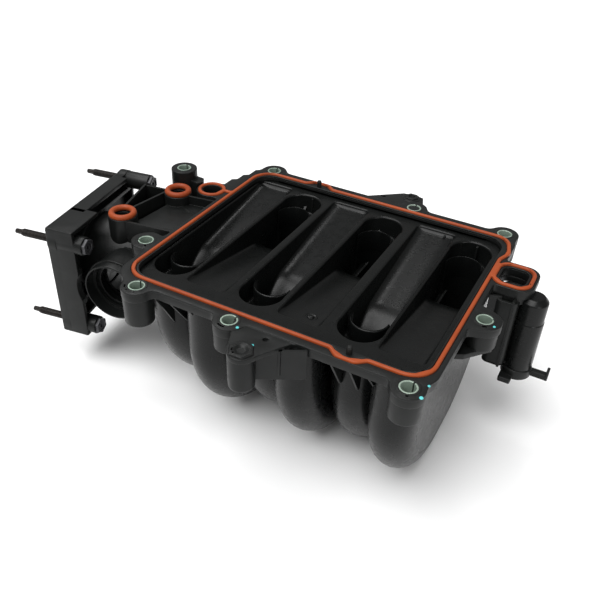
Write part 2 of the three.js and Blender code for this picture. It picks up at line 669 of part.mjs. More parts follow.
piece('valve_cap_seal', ring(VALVE.x, VALVE.y, 9.8, 1.1, -82, 16, 5), SEAL_RUBBER);

const valveOuter = turned(
  [[0, -62], [8.4, -62], [8.4, -31], [10.2, -31], [10.2, -29], [8.4, -29], [8.4, -26], [0, -26]],
  VALVE.x, VALVE.y, 16,
);
const valveBore = turned([[0, -60], [6.2, -60], [6.2, -30], [0, -30]], VALVE.x, VALVE.y, 16);
piece(
  'valve_body',
  less(valveOuter, [valveBore, post(VALVE.x, VALVE.y, 3.4, -70, -50, 16), post(VALVE.x, VALVE.y, 2.6, -40, -20, 16)]),
  STEEL,
);
piece('valve_seal', ring(VALVE.x, VALVE.y, 9.6, 1, -27.4, 16, 5), SEAL_RUBBER);
const pintle = turned(
  [[0, -59.7], [5.4, -59.7], [5.4, -57.8], [2, -57.8], [2, -40], [1.4, -33.5], [0, -33.5]],
  VALVE.x, VALVE.y, 16,
);
piece('valve_pintle', pintle, STEEL);
piece('valve_spring', coil(VALVE.x, VALVE.y, 4.4, 0.45, -57.5, -30.3, 6), STEEL);
piece('well_spring', coil(VALVE.x, VALVE.y, 5.8, 0.6, -93.7, -62.3, 4), STEEL);

// The origin is at the middle of the base.
const box = new THREE.Box3().setFromObject(manifold);
const middle = box.getCenter(V3(0, 0, 0));
manifold.children.forEach((node) => node.geometry.translate(-middle.x, -middle.y, -box.min.z));

export default manifold;
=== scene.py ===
"""Engine intake manifold, lying with its gasket face up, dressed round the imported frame.

Sizes are in drawing millimetres. The drawing's origin is at the middle of the perimeter
seal, on the gasket face, and Datum carries it into the frame's metres.
"""
import logging
import math
from dataclasses import dataclass, field
from enum import Enum
from typing import Callable, Iterable, Optional, Sequence

import bmesh
import bpy
import numpy as np
from mathutils import Matrix, Vector
from mathutils.geometry import delaunay_2d_cdt


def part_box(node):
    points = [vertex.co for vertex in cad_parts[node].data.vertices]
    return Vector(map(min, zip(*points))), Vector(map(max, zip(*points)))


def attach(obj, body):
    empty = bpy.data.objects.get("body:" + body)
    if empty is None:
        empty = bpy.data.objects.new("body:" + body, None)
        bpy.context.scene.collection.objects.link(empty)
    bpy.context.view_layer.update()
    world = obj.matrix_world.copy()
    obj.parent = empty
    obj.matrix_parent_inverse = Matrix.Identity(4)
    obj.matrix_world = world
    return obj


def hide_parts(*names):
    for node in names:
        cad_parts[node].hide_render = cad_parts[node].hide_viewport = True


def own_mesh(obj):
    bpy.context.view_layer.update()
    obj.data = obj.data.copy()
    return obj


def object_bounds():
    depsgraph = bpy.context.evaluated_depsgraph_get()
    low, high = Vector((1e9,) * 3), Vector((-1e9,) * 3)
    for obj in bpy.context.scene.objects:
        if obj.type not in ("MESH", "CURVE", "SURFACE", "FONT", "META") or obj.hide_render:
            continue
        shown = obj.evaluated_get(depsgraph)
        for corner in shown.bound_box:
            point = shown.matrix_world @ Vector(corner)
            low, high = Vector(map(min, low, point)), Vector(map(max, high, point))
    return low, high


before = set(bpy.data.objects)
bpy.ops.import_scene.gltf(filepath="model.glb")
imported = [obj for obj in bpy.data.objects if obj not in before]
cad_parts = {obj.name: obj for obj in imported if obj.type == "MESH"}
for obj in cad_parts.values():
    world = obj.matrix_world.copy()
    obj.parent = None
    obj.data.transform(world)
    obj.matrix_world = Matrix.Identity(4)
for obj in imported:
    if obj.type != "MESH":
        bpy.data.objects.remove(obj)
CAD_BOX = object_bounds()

log = logging.getLogger("manifold")

MM = 0.001
FLOOR_TOP = -6.0
FLANGE_UNDER = -9.0

Points = np.ndarray
Faces = list[tuple[int, ...]]
Surface = tuple[Points, Faces]
Corner = tuple[float, float, float]


class BodyName(Enum):
    """The bodies that a piece can ride on."""

    MANIFOLD = "manifold"
    CAP = "cap"


class Slot(Enum):
    """The record's material slots."""

    NYLON = "nylon_black"
    SEAL = "seal_silicone"
    ZINC = "limiter_zinc"
    BLACK_STEEL = "stud_black_steel"
    BRIGHT_STEEL = "valve_steel"


# --------------------------------------------------------------------- finishes
class NodeChain:
    """A material's node tree, with short ways to add the nodes that a finish needs."""

    def __init__(self, name: str) -> None:
        """Starts an empty material with a shader and an output.

        Args:
            name: the material's name.
        """
        self.material = bpy.data.materials.new(name)
        self.material.use_nodes = True
        self.tree = self.material.node_tree
        self.shader = self.tree.nodes["Principled BSDF"]
        coords = self.tree.nodes.new("ShaderNodeTexCoord")
        self.place = coords.outputs["Object"]

    def add(self, kind: str, **values: object) -> bpy.types.Node:
        """Adds a node and sets its plain properties or its sockets' default values.

        Args:
            kind: the node's type.
            values: properties by name, or socket values with spaces written as underscores.

        Returns:
            The new node.
        """
        node = self.tree.nodes.new(kind)
        for key, value in values.items():
            if hasattr(node, key):
                setattr(node, key, value)
            else:
                node.inputs[key.replace("_", " ")].default_value = value
        return node

    def link(self, source: bpy.types.NodeSocket, target: bpy.types.NodeSocket) -> None:
        """Joins an output to an input."""
        self.tree.links.new(source, target)

    def noise(self, scale: float, detail: float = 3.0, rough: float = 0.55) -> bpy.types.NodeSocket:
        """Adds noise on object coordinates.

        Args:
            scale: noise cells for each metre.
            detail: number of finer layers.
            rough: weight of the finer layers.

        Returns:
            The noise value's socket.
        """
        node = self.add("ShaderNodeTexNoise", Scale=scale, Detail=detail, Roughness=rough)
        self.link(self.place, node.inputs["Vector"])
        return node.outputs["Fac"]

    def spread(
        self, source: bpy.types.NodeSocket, span: tuple[float, float], low: float, high: float
    ) -> bpy.types.NodeSocket:
        """Maps a value's span to another range.

        Args:
            source: the value.
            span: the part of the value's range that matters.
            low: result at the start of the span.
            high: result at its end.

        Returns:
            The mapped value's socket.
        """
        node = self.add("ShaderNodeMapRange")
        for key, value in (("From Min", span[0]), ("From Max", span[1]), ("To Min", low), ("To Max", high)):
            node.inputs[key].default_value = value
        self.link(source, node.inputs["Value"])
        return node.outputs["Result"]

    def ramp(
        self, source: bpy.types.NodeSocket, stops: Sequence[tuple[float, tuple[float, float, float]]]
    ) -> bpy.types.NodeSocket:
        """Turns a value into a colour.

        Args:
            source: the value, 0 to 1.
            stops: position and colour of each stop.

        Returns:
            The colour's socket.
        """
        node = self.tree.nodes.new("ShaderNodeValToRGB")
        elements = node.color_ramp.elements
        while len(elements) < len(stops):
            elements.new(0.5)
        for element, (at, color) in zip(elements, stops):
            element.position = at
            element.color = (*color, 1.0)
        self.link(source, node.inputs["Fac"])
        return node.outputs["Color"]

    def bumps(self, layers: Iterable[tuple[bpy.types.NodeSocket, float, float]], edge: float) -> None:
        """Stacks bump layers over softly rounded edges and feeds the shader's normal.

        Args:
            layers: height, strength and depth in metres of each layer.
            edge: radius of the rounding, in metres.
        """
        rounded_edge = self.add("ShaderNodeBevel", samples=4, Radius=edge)
        normal = rounded_edge.outputs["Normal"]
        for height, strength, depth in layers:
            bump = self.add("ShaderNodeBump", Strength=strength, Distance=depth)
            self.link(height, bump.inputs["Height"])
            self.link(normal, bump.inputs["Normal"])
            normal = bump.outputs["Normal"]
        self.link(normal, self.shader.inputs["Normal"])


@dataclass(frozen=True)
class Finish:
    """A surface: its tones, its gloss and its texture.

    Two tones are mixed by broad noise, gloss varies by middle noise, and fine noise
    gives the grain.
    """

    name: str
    slot: Slot
    tone_a: tuple[float, float, float]
    tone_b: tuple[float, float, float]
    gloss: tuple[float, float]
    metallic: float = 0.0
    specular: float = 0.5
    broad: float = 18.0
    middle: float = 140.0
    grain: float = 2200.0
    grain_depth: float = 0.00003
    ripple_depth: float = 0.00012
    edge: float = 0.0005
    sheen: float = 0.0
    coat: float = 0.0
    anisotropy: float = 0.0

    def material(self) -> bpy.types.Material:
        """Builds the material once and returns it after that.

        Returns:
            The material.
        """
        made = bpy.data.materials.get(self.name)
        if made:
            return made
        chain = NodeChain(self.name)
        broad = chain.noise(self.broad, 4.0)
        middle = chain.noise(self.middle, 5.0, 0.6)
        grain = chain.noise(self.grain, 2.0, 0.5)
        chain.link(
            chain.ramp(broad, [(0.32, self.tone_a), (0.68, self.tone_b)]), chain.shader.inputs["Base Color"]
        )
        gloss = chain.spread(middle, (0.3, 0.7), *self.gloss)
        chain.link(gloss, chain.shader.inputs["Roughness"])
        chain.bumps(
            [(middle, 0.3, self.ripple_depth), (grain, 0.2, self.grain_depth)], self.edge
        )
        shader = chain.shader.inputs
        shader["Metallic"].default_value = self.metallic
        shader["Specular IOR Level"].default_value = self.specular
        shader["Sheen Weight"].default_value = self.sheen
        shader["Coat Weight"].default_value = self.coat
        shader["Coat Roughness"].default_value = 0.12
        shader["Anisotropic"].default_value = self.anisotropy
        return chain.material


NYLON = Finish(
    "glass filled nylon", Slot.NYLON, (0.0048, 0.0054, 0.0052), (0.0085, 0.0092, 0.0088), (0.34, 0.47),
    specular=0.22, edge=0.0006, ripple_depth=0.00010,
)
GLOSSY_NYLON = Finish(
    "polished nylon", Slot.NYLON, (0.0028, 0.0032, 0.0031), (0.0046, 0.0051, 0.0049), (0.24, 0.34),
    specular=0.2, edge=0.0008, ripple_depth=0.00005, grain_depth=0.000015,
)
MATT_NYLON = Finish(
    "matt nylon", Slot.NYLON, (0.0060, 0.0064, 0.0062), (0.0100, 0.0105, 0.0100), (0.42, 0.56),
    specular=0.25, edge=0.0005, grain_depth=0.00005,
)
SILICONE = Finish(
    "orange silicone", Slot.SEAL, (0.25, 0.040, 0.0075), (0.33, 0.058, 0.011), (0.42, 0.56),
    specular=0.25, grain=1500.0, grain_depth=0.00002, ripple_depth=0.00008, edge=0.0003, sheen=0.04,
)
ZINC = Finish(
    "pale zinc plate", Slot.ZINC, (0.20, 0.27, 0.22), (0.30, 0.37, 0.31), (0.34, 0.50),
    metallic=0.45, grain=1800.0, grain_depth=0.00002, edge=0.0003, anisotropy=0.4,
)
BLACK_STEEL = Finish(
    "black phosphate", Slot.BLACK_STEEL, (0.010, 0.0085, 0.0075), (0.022, 0.018, 0.015), (0.34, 0.50),
    metallic=0.5, broad=90.0, grain=2600.0, edge=0.0002,
)
GREY_STEEL = Finish(
    "grey turned steel", Slot.BLACK_STEEL, (0.035, 0.035, 0.038), (0.060, 0.060, 0.064), (0.38, 0.52),
    metallic=0.6, broad=120.0, grain=2600.0, edge=0.0002,
)
BRIGHT_STEEL = Finish(
    "bright turned steel", Slot.BRIGHT_STEEL, (0.48, 0.49, 0.50), (0.62, 0.63, 0.64), (0.20, 0.34),
    metallic=1.0, broad=150.0, grain=2600.0, edge=0.0002, anisotropy=0.5,
)
CHECK_PAINT = Finish(
    "inspection paint", Slot.NYLON, (0.05, 0.42, 0.44), (0.12, 0.60, 0.60), (0.35, 0.5), edge=0.0002,
)


# ------------------------------------------------------------------ mesh helpers
class Datum:
    """Carries drawing millimetres into the frame."""

    def __init__(self) -> None:
        """Finds the drawing's origin from the floor, which is centred on it."""
        low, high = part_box("plenum_floor")
        self.origin = Vector(((low.x + high.x) / 2, (low.y + high.y) / 2, high.z - FLOOR_TOP * MM))

    def metres(self, points: Points) -> Points:
        """Returns drawing points in the frame's metres."""
        return np.asarray(points, float) * MM + np.array(self.origin)


DATUM = Datum()


def made_piece(
    obj: bpy.types.Object,
    finish: Finish,
    body: BodyName = BodyName.MANIFOLD,
    replaces: Sequence[str] = (),
) -> bpy.types.Object:
    """Dresses a finished object and tells the frame about it.

    Args:
        obj: the object, in place.
        finish: its surface.
        body: what it rides on.
        replaces: the CAD nodes that it stands for.

    Returns:
        The same object.
    """
    if not any(obj.data.materials):
        obj.data.materials.clear()
        obj.data.materials.append(finish.material())
    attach(obj, body.value)
    if replaces:
        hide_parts(*replaces)
    log.info("%s: %d faces", obj.name, len(obj.data.polygons))
    return obj


class Shell:
    """Closed surfaces gathered into one mesh, in drawing millimetres."""

    def __init__(self) -> None:
        """Starts with nothing."""
        self.points: list[tuple[float, ...]] = []
        self.faces: Faces = []

    def add(self, surface: Surface, place: Optional[Matrix] = None) -> "Shell":
        """Adds a surface.

        Args:
            surface: points and faces.
            place: where to put it.

        Returns:
            This shell, so that calls can be chained.
        """
        points, faces = surface
        points = np.asarray(points, float)
        if place is not None:
            turn = np.array(place)
            points = points @ turn[:3, :3].T + turn[:3, 3]
        base = len(self.points)
        self.points.extend(map(tuple, points))
        self.faces.extend(tuple(i + base for i in face) for face in faces)
        return self

    def object(self, name: str, sharp: float = 35.0) -> bpy.types.Object:
        """Makes the mesh object.

        Args:
            name: its name.
            sharp: edges steeper than this many degrees stay sharp.

        Returns:
            The new object, linked to the scene.
        """
        name = name.replace(" ", "-")
        mesh = bpy.data.meshes.new(name)
        mesh.from_pydata(DATUM.metres(self.points).tolist(), [], self.faces)
        work = bmesh.new()
        work.from_mesh(mesh)
        bmesh.ops.remove_doubles(work, verts=work.verts, dist=1e-6)
        bmesh.ops.dissolve_degenerate(work, edges=work.edges, dist=1e-7)
        bmesh.ops.recalc_face_normals(work, faces=work.faces)
        work.to_mesh(mesh)
        work.free()
        mesh.shade_smooth()
        mesh.set_sharp_from_angle(angle=math.radians(sharp))
        obj = bpy.data.objects.new(name, mesh)
        bpy.context.scene.collection.objects.link(obj)
        return obj


def rounded(corners: Sequence[Corner], closed: bool = True, steps: int = 4) -> list[tuple[float, float]]:
    """Rounds the corners of an outline.

    Args:
        corners: place and radius of each corner.
        closed: whether the last corner joins the first.
        steps: pieces in each round corner.

    Returns:
        The outline's points.
    """
    out: list[tuple[float, float]] = []
    count = len(corners)
    for i, (x, y, radius) in enumerate(corners):
        if radius <= 0 or (not closed and i in (0, count - 1)):
            out.append((x, y))
            continue
        here = Vector((x, y))
        back = (Vector(corners[i - 1][:2]) - here).normalized()
        ahead = (Vector(corners[(i + 1) % count][:2]) - here).normalized()
        half = math.acos(max(-0.9999, min(0.9999, back.dot(ahead)))) / 2
        centre = here + (back + ahead).normalized() * (radius / math.sin(half))
        start = here + back * (radius / math.tan(half)) - centre
        end = here + ahead * (radius / math.tan(half)) - centre
        swing = math.atan2(start.x * end.y - start.y * end.x, start.dot(end))
        for k in range(steps + 1):
            spoke = Matrix.Rotation(swing * k / steps, 2) @ start
            out.append((centre.x + spoke.x, centre.y + spoke.y))
    return out


def turned(
    profile: Sequence[tuple[float, float]], centre: tuple[float, float] = (0.0, 0.0), steps: int = 56,
    sweep: tuple[float, float] = (0.0, 360.0),
) -> Surface:
    """Turns a profile about an upright axis.

    Args:
        profile: radius and height of each point; it starts and ends on the axis, or closes on itself.
        centre: plan place of the axis.
        steps: segments round.
        sweep: first and last angle in degrees; less than a full turn gets flat ends.

    Returns:
        The surface.
    """
    full = abs(sweep[1] - sweep[0]) >= 360.0
    on_axis = profile[0][0] == 0 and profile[-1][0] == 0
    count = steps if full else steps + 1
    angles = np.radians(sweep[0] + (sweep[1] - sweep[0]) * np.arange(count) / steps)
    points = [
        (centre[0] + r * math.cos(a), centre[1] + r * math.sin(a), z) for a in angles for r, z in profile
    ]
    row = len(profile)
    spans = range(row - 1) if on_axis else range(row)
    faces: Faces = []
    for i in range(steps):
        a, b = i * row, ((i + 1) % count) * row
        for j in spans:
            k = (j + 1) % row
            faces.append((a + j, b + j, b + k, a + k))
    if not full:
        faces.append(tuple(range(row)))
        faces.append(tuple(reversed(range((count - 1) * row, count * row))))
    return np.array(points), faces


def tube(inner: float, outer: float, low: float, high: float, edge: float = 0.7) -> list[tuple[float, float]]:
    """The profile of a plain tube with rounded rims.

    Args:
        inner: bore radius.
        outer: outside radius.
        low: height of the foot.
        high: height of the top.
        edge: rounding of the rims.

    Returns:
        A closed profile for turned.
    """
    return rounded([(inner, low, edge), (outer, low, edge), (outer, high, edge), (inner, high, edge)])


def rod(profile: Sequence[Corner], steps: int = 3) -> list[tuple[float, float]]:
    """A solid turning's profile from the axis at the foot to the axis at the top, corners rounded."""
    return rounded(profile, closed=False, steps=steps)


def prism(outline_points: Sequence[tuple[float, float]], low: float, high: float) -> Surface:
    """Carries a plan outline straight up.

    Args:
        outline_points: plan points.
        low: height of the foot.
        high: height of the top.

    Returns:
        The closed surface.
    """
    count = len(outline_points)
    points = [(x, y, z) for z in (low, high) for x, y in outline_points]
    faces: Faces = [tuple(reversed(range(count))), tuple(range(count, 2 * count))]
    faces += [(i, (i + 1) % count, count + (i + 1) % count, count + i) for i in range(count)]
    return np.array(points), faces


def grid(points: np.ndarray) -> Faces:
    """Faces of a rectangular array of points.

    Args:
        points: rows by columns by 3.

    Returns:
        Quads that index the array when it is flattened.
    """
    rows, columns = points.shape[:2]
    return [
        (r * columns + c, r * columns + c + 1, (r + 1) * columns + c + 1, (r + 1) * columns + c)
        for r in range(rows - 1)
        for c in range(columns - 1)
    ]


def thick_sheet(top: np.ndarray, bottom: np.ndarray) -> Surface:
    """Closes two matching sheets of points into one slab.

    Args:
        top: rows by columns by 3.
        bottom: the same shape, below it.

    Returns:
        The closed surface.
    """
    rows, columns = top.shape[:2]
    size = rows * columns
    faces = grid(top) + [tuple(i + size for i in reversed(face)) for face in grid(bottom)]
    rim = [c for c in range(columns)]
    rim += [r * columns + columns - 1 for r in range(1, rows)]
    rim += [(rows - 1) * columns + c for c in range(columns - 2, -1, -1)]
    rim += [r * columns for r in range(rows - 2, 0, -1)]
    for a, b in zip(rim, rim[1:] + rim[:1]):
        faces.append((a, b, b + size, a + size))
    return np.concatenate([top.reshape(-1, 3), bottom.reshape(-1, 3)]), faces


# --------------------------------------------------------------- plan outlines
@dataclass(frozen=True)
class Plan:
    """A region in plan, as a distance that is negative inside it."""

    value: Callable[[np.ndarray, np.ndarray], np.ndarray]

    def join(self, other: "Plan", blend: float = 0.0) -> "Plan":
        """The two regions together, with a fillet of about blend where they meet."""

        def value(x: np.ndarray, y: np.ndarray) -> np.ndarray:
            """Distance to the joined region."""
            a, b = self.value(x, y), other.value(x, y)
            if blend <= 0:
                return np.minimum(a, b)
            mix = np.clip(0.5 + 0.5 * (b - a) / blend, 0, 1)
            return b + (a - b) * mix - blend * mix * (1 - mix)

        return Plan(value)

    def less(self, other: "Plan") -> "Plan":
        """What is left of this region outside the other."""
        return Plan(lambda x, y: np.maximum(self.value(x, y), -other.value(x, y)))

    def within(self, other: "Plan") -> "Plan":
        """The part of this region inside the other."""
        return Plan(lambda x, y: np.maximum(self.value(x, y), other.value(x, y)))

    def grown(self, by: float) -> "Plan":
        """This region, grown outwards."""
        return Plan(lambda x, y: self.value(x, y) - by)

    def band(self, half: float) -> "Plan":
        """A strip along this region's edge, half to each side."""
        return Plan(lambda x, y: np.abs(self.value(x, y)) - half)


def disc(x0: float, y0: float, radius: float) -> Plan:
    """A round region."""
    return Plan(lambda x, y: np.hypot(x - x0, y - y0) - radius)


def oblong(x0: float, y0: float, half_x: float, half_y: float, radius: float) -> Plan:
    """A rectangle with round corners."""

    def value(x: np.ndarray, y: np.ndarray) -> np.ndarray:
        """Distance to the rectangle."""
        dx = np.abs(x - x0) - half_x + radius
        dy = np.abs(y - y0) - half_y + radius
        return np.hypot(np.maximum(dx, 0), np.maximum(dy, 0)) + np.minimum(np.maximum(dx, dy), 0) - radius

    return Plan(value)


def polygon(points: Sequence[tuple[float, float]]) -> Plan:
    """A region inside straight edges."""
    ring = np.array(points, float)

    def value(x: np.ndarray, y: np.ndarray) -> np.ndarray:
        """Distance to the polygon."""
        nearest = np.full(np.shape(x), 1e9)
        inside = np.zeros(np.shape(x), bool)
        for (ax, ay), (bx, by) in zip(ring, np.roll(ring, -1, 0)):
            ex, ey = bx - ax, by - ay
            along = np.clip(((x - ax) * ex + (y - ay) * ey) / (ex * ex + ey * ey), 0, 1)
            nearest = np.minimum(nearest, np.hypot(x - ax - ex * along, y - ay - ey * along))
            if ey:
                inside ^= ((ay <= y) != (by <= y)) & (x < ax + (y - ay) * ex / ey)
        return np.where(inside, -nearest, nearest)

    return Plan(value)


def onto_edge(plan: Plan, ring: np.ndarray, rounds: int = 2) -> tuple[np.ndarray, np.ndarray]:
    """Moves points onto a region's edge.

    Args:
        plan: the region.
        ring: points near its edge.
        rounds: how often to repeat.

    Returns:
        The moved points, and the outward direction at each.
    """
    reach = 0.05
    for _ in range(rounds):
        x, y = ring[:, 0], ring[:, 1]
        gx = (plan.value(x + reach, y) - plan.value(x - reach, y)) / (2 * reach)
        gy = (plan.value(x, y + reach) - plan.value(x, y - reach)) / (2 * reach)
        size = np.maximum(np.hypot(gx, gy), 0.3)
        normal = np.stack([gx / size, gy / size], 1)
        step = np.clip(plan.value(x, y) / size, -0.6, 0.6)
        ring = ring - normal * step[:, None]
    return ring, normal


def edge_rings(plan: Plan, box: tuple[float, float, float, float], cell: float) -> list[np.ndarray]:
    """Follows a region's edges.

    Args:
        plan: the region.
        box: x and y limits that hold it.
        cell: spacing of the search, and of the points.

    Returns:
        One ring of evenly spaced points for each edge.
    """
    xs = np.arange(box[0], box[1] + cell, cell)
    ys = np.arange(box[2], box[3] + cell, cell)
    value = plan.value(*np.meshgrid(xs, ys, indexing="ij"))
    inside = value < 0
    links: dict[tuple[int, int, int], list[tuple[int, int, int]]] = {}
    code = inside[:-1, :-1] * 1 + inside[1:, :-1] * 2 + inside[1:, 1:] * 4 + inside[:-1, 1:] * 8
    for i, j in zip(*np.nonzero((code > 0) & (code < 15))):
        sides = [(0, i, j), (1, i + 1, j), (0, i, j + 1), (1, i, j)]
        corner = [inside[i, j], inside[i + 1, j], inside[i + 1, j + 1], inside[i, j + 1]]
        cut = [s for s, side in enumerate(sides) if corner[s] != corner[(s + 1) % 4]]
        for a, b in zip(cut[::2], cut[1::2]):
            links.setdefault(sides[a], []).append(sides[b])
            links.setdefault(sides[b], []).append(sides[a])
    rings = []
    while links:
        start = next(iter(links))
        path, before, here = [start], None, start
        while True:
            ahead = [s for s in links.pop(here, []) if s != before and (s in links or s == start)]
            if not ahead or ahead[0] == start:
                break
            before, here = here, ahead[0]
            path.append(here)
        if len(path) < 6:
            continue
        ring = []
        for way, i, j in path:
            p, q = (xs[i], ys[j]), (xs[i + (way == 0)], ys[j + (way == 1)])
            a, b = value[i, j], value[i + (way == 0), j + (way == 1)]
            t = a / (a - b)
            ring.append((p[0] + (q[0] - p[0]) * t, p[1] + (q[1] - p[1]) * t))
        loop = np.array(ring + ring[:1])
        run = np.concatenate([[0], np.cumsum(np.hypot(*np.diff(loop, axis=0).T))])
        count = max(10, round(run[-1] / cell))
        marks = np.linspace(0, run[-1], count, endpoint=False)
        rings.append(np.stack([np.interp(marks, run, loop[:, 0]), np.interp(marks, run, loop[:, 1])], 1))
    return rings


def plate(
    plan: Plan, box: tuple[float, float, float, float], low: float, high: float,
    top_edge: float = 0.8, foot_edge: float = 0.3, cell: float = 1.2, strict: float = 0.9,
) -> Surface:
    """Makes a flat plate of any outline, with rounded edges.

    Args:
        plan: its outline and holes.
        box: x and y limits that hold it.
        low: height of its underside.
        high: height of its top.
        top_edge: rounding of the top edges.
        foot_edge: rounding of the lower edges.
        cell: spacing of points along the edges.
        strict: share of the rounding that the flat faces keep clear of the outline.

    Returns:
        The closed surface.
    """
    quarter = np.radians([0, 30, 60, 90])
    rows = [(foot_edge * (1 - math.sin(a)), low + foot_edge * (1 - math.cos(a))) for a in quarter]
    rows += [(top_edge * (1 - math.sin(a)), high - top_edge * (1 - math.cos(a))) for a in quarter[::-1]]
    points: list[tuple[float, float, float]] = []
    faces: Faces = []
    caps: tuple[list[np.ndarray], list[np.ndarray]] = ([], [])
    for ring in edge_rings(plan, box, cell):
        ring, normal = onto_edge(plan, ring)
        count, base = len(ring), len(points)
        for inset, z in rows:
            moved = ring - normal * inset
            points.extend((x, y, z) for x, y in moved)
        for r in range(len(rows) - 1):
            a = base + r * count
            faces += ring_quads(a, count)
        caps[0].append(ring - normal * rows[0][0])
        caps[1].append(ring - normal * rows[-1][0])
    for rings, z, inset in zip(caps, (low, high), (rows[0][0], rows[-1][0])):
        flat, triangles = filled(rings, plan.grown(-strict * inset))
        base = len(points)
        points.extend((x, y, z) for x, y in flat)
        faces += [tuple(base + i for i in triangle) for triangle in triangles]
    return np.array(points), faces


def ring_quads(first: int, count: int) -> Faces:
    """Joins a closed ring of points to the ring that follows it.

    Args:
        first: index of the first ring's first point.
        count: points in each ring.

    Returns:
        One quad for each side of the ring.
    """
    ends = [(first + i, first + (i + 1) % count) for i in range(count)]
    return [(a, b, b + count, a + count) for a, b in ends]


def hexagon(x: float, y: float, radius: float) -> Plan:
    """A hexagon in plan, with a corner towards +X.

    Args:
        x: its middle.
        y: its middle.
        radius: distance from the middle to a corner.

    Returns:
        The plan.
    """
    turns = [math.radians(60 * k) for k in range(6)]
    return polygon([(x + radius * math.cos(turn), y + radius * math.sin(turn)) for turn in turns])


def filled(
    rings: Sequence[np.ndarray], plan: Plan, inner: Optional[np.ndarray] = None
) -> tuple[np.ndarray, Faces]:
    """Fills a region with triangles.

    Args:
        rings: the region's edges, as closed rings of points.
        plan: tells which triangles are inside.
        inner: further points to use.

    Returns:
        Plan points and triangles.
    """
    flat: list[Vector] = []
    edges: list[tuple[int, int]] = []
    for ring in rings:
        base, count = len(flat), len(ring)
        flat += [Vector(p) for p in ring]
        edges += [(base + i, base + (i + 1) % count) for i in range(count)]
    if inner is not None:
        flat += [Vector(p) for p in inner]
    found, _, triangles, *_ = delaunay_2d_cdt(flat, edges, [], 1, 1e-6)
    xy = np.array([tuple(v) for v in found])
    corners = np.array(triangles)
    middle = xy[corners].mean(axis=1)
    keep = plan.value(middle[:, 0], middle[:, 1]) < 0
    return xy, [tuple(int(i) for i in t) for t in corners[keep]]


# ------------------------------------------------------------- geometry nodes
class SweepTree:
    """A Geometry Nodes tree that carries a round section along an object's edges."""

    def __init__(self, name: str) -> None:
        """Builds the tree.

        Args:
            name: the tree's name.
        """
        tree = bpy.data.node_groups.new(name, "GeometryNodeTree")
        face = tree.interface
        face.new_socket("Path", in_out="INPUT", socket_type="NodeSocketGeometry")
        self.radius = face.new_socket("Section Radius", in_out="INPUT", socket_type="NodeSocketFloat")
        self.sides = face.new_socket("Section Sides", in_out="INPUT", socket_type="NodeSocketInt")
        self.finish = face.new_socket("Finish", in_out="INPUT", socket_type="NodeSocketMaterial")
        face.new_socket("Cord", in_out="OUTPUT", socket_type="NodeSocketGeometry")
        new, link = tree.nodes.new, tree.links.new
        given, result = new("NodeGroupInput"), new("NodeGroupOutput")
        line, section = new("GeometryNodeMeshToCurve"), new("GeometryNodeCurvePrimitiveCircle")
        swept, smooth = new("GeometryNodeCurveToMesh"), new("GeometryNodeSetShadeSmooth")
        real, dressed = new("GeometryNodeRealizeInstances"), new("GeometryNodeSetMaterial")
        swept.inputs["Fill Caps"].default_value = True
        link(given.outputs["Path"], line.inputs["Mesh"])
        link(given.outputs["Section Radius"], section.inputs["Radius"])
        link(given.outputs["Section Sides"], section.inputs["Resolution"])
        link(line.outputs["Curve"], swept.inputs["Curve"])
        link(section.outputs["Curve"], swept.inputs["Profile Curve"])
        link(swept.outputs["Mesh"], smooth.inputs["Geometry"])
        link(smooth.outputs["Geometry"], real.inputs["Geometry"])
        link(real.outputs["Geometry"], dressed.inputs["Geometry"])
        link(given.outputs["Finish"], dressed.inputs["Material"])
        link(dressed.outputs["Geometry"], result.inputs["Cord"])
        self.tree = tree

    def run(
        self, name: str, paths: Sequence[Points], radius: float, finish: Finish, closed: bool, sides: int = 8
    ) -> bpy.types.Object:
        """Carries the section along paths and returns a plain mesh.

        Args:
            name: name of the new object.
            paths: one row of drawing points for each path.
            radius: section radius in millimetres.
            finish: its surface.
            closed: whether each path closes on itself.
            sides: sides of the section.

        Returns:
            The object, with no modifier left.
        """
        points: list[tuple[float, ...]] = []
        edges: list[tuple[int, int]] = []
        for path in paths:
            base, count = len(points), len(path)
            points.extend(map(tuple, path))
            edges += [(base + i, base + i + 1) for i in range(count - 1)]
            if closed:
                edges.append((base + count - 1, base))
        mesh = bpy.data.meshes.new(name + " path")
        mesh.from_pydata(DATUM.metres(points).tolist(), edges, [])
        guide = bpy.data.objects.new(name + " path", mesh)
        bpy.context.scene.collection.objects.link(guide)
        sweep = guide.modifiers.new("sweep", "NODES")
        sweep.node_group = self.tree
        sweep[self.radius.identifier] = radius * MM
        sweep[self.sides.identifier] = sides
        sweep[self.finish.identifier] = finish.material()
        return baked(guide, name)


def baked(source: bpy.types.Object, name: str) -> bpy.types.Object:
    """Turns an object with modifiers into a plain mesh object and deletes the first.

    Args:
        source: the object with modifiers.
        name: the new object's name.

    Returns:
        The plain mesh object.
    """
    graph = bpy.context.evaluated_depsgraph_get()
    graph.update()
    mesh = bpy.data.meshes.new_from_object(source.evaluated_get(graph))
    name = name.replace(" ", "-")
    mesh.name = name
    bpy.data.objects.remove(source)
    work = bmesh.new()
    work.from_mesh(mesh)
    bmesh.ops.recalc_face_normals(work, faces=work.faces)
    work.to_mesh(mesh)
    work.free()
    obj = bpy.data.objects.new(name, mesh)
    bpy.context.scene.collection.objects.link(obj)
    return obj


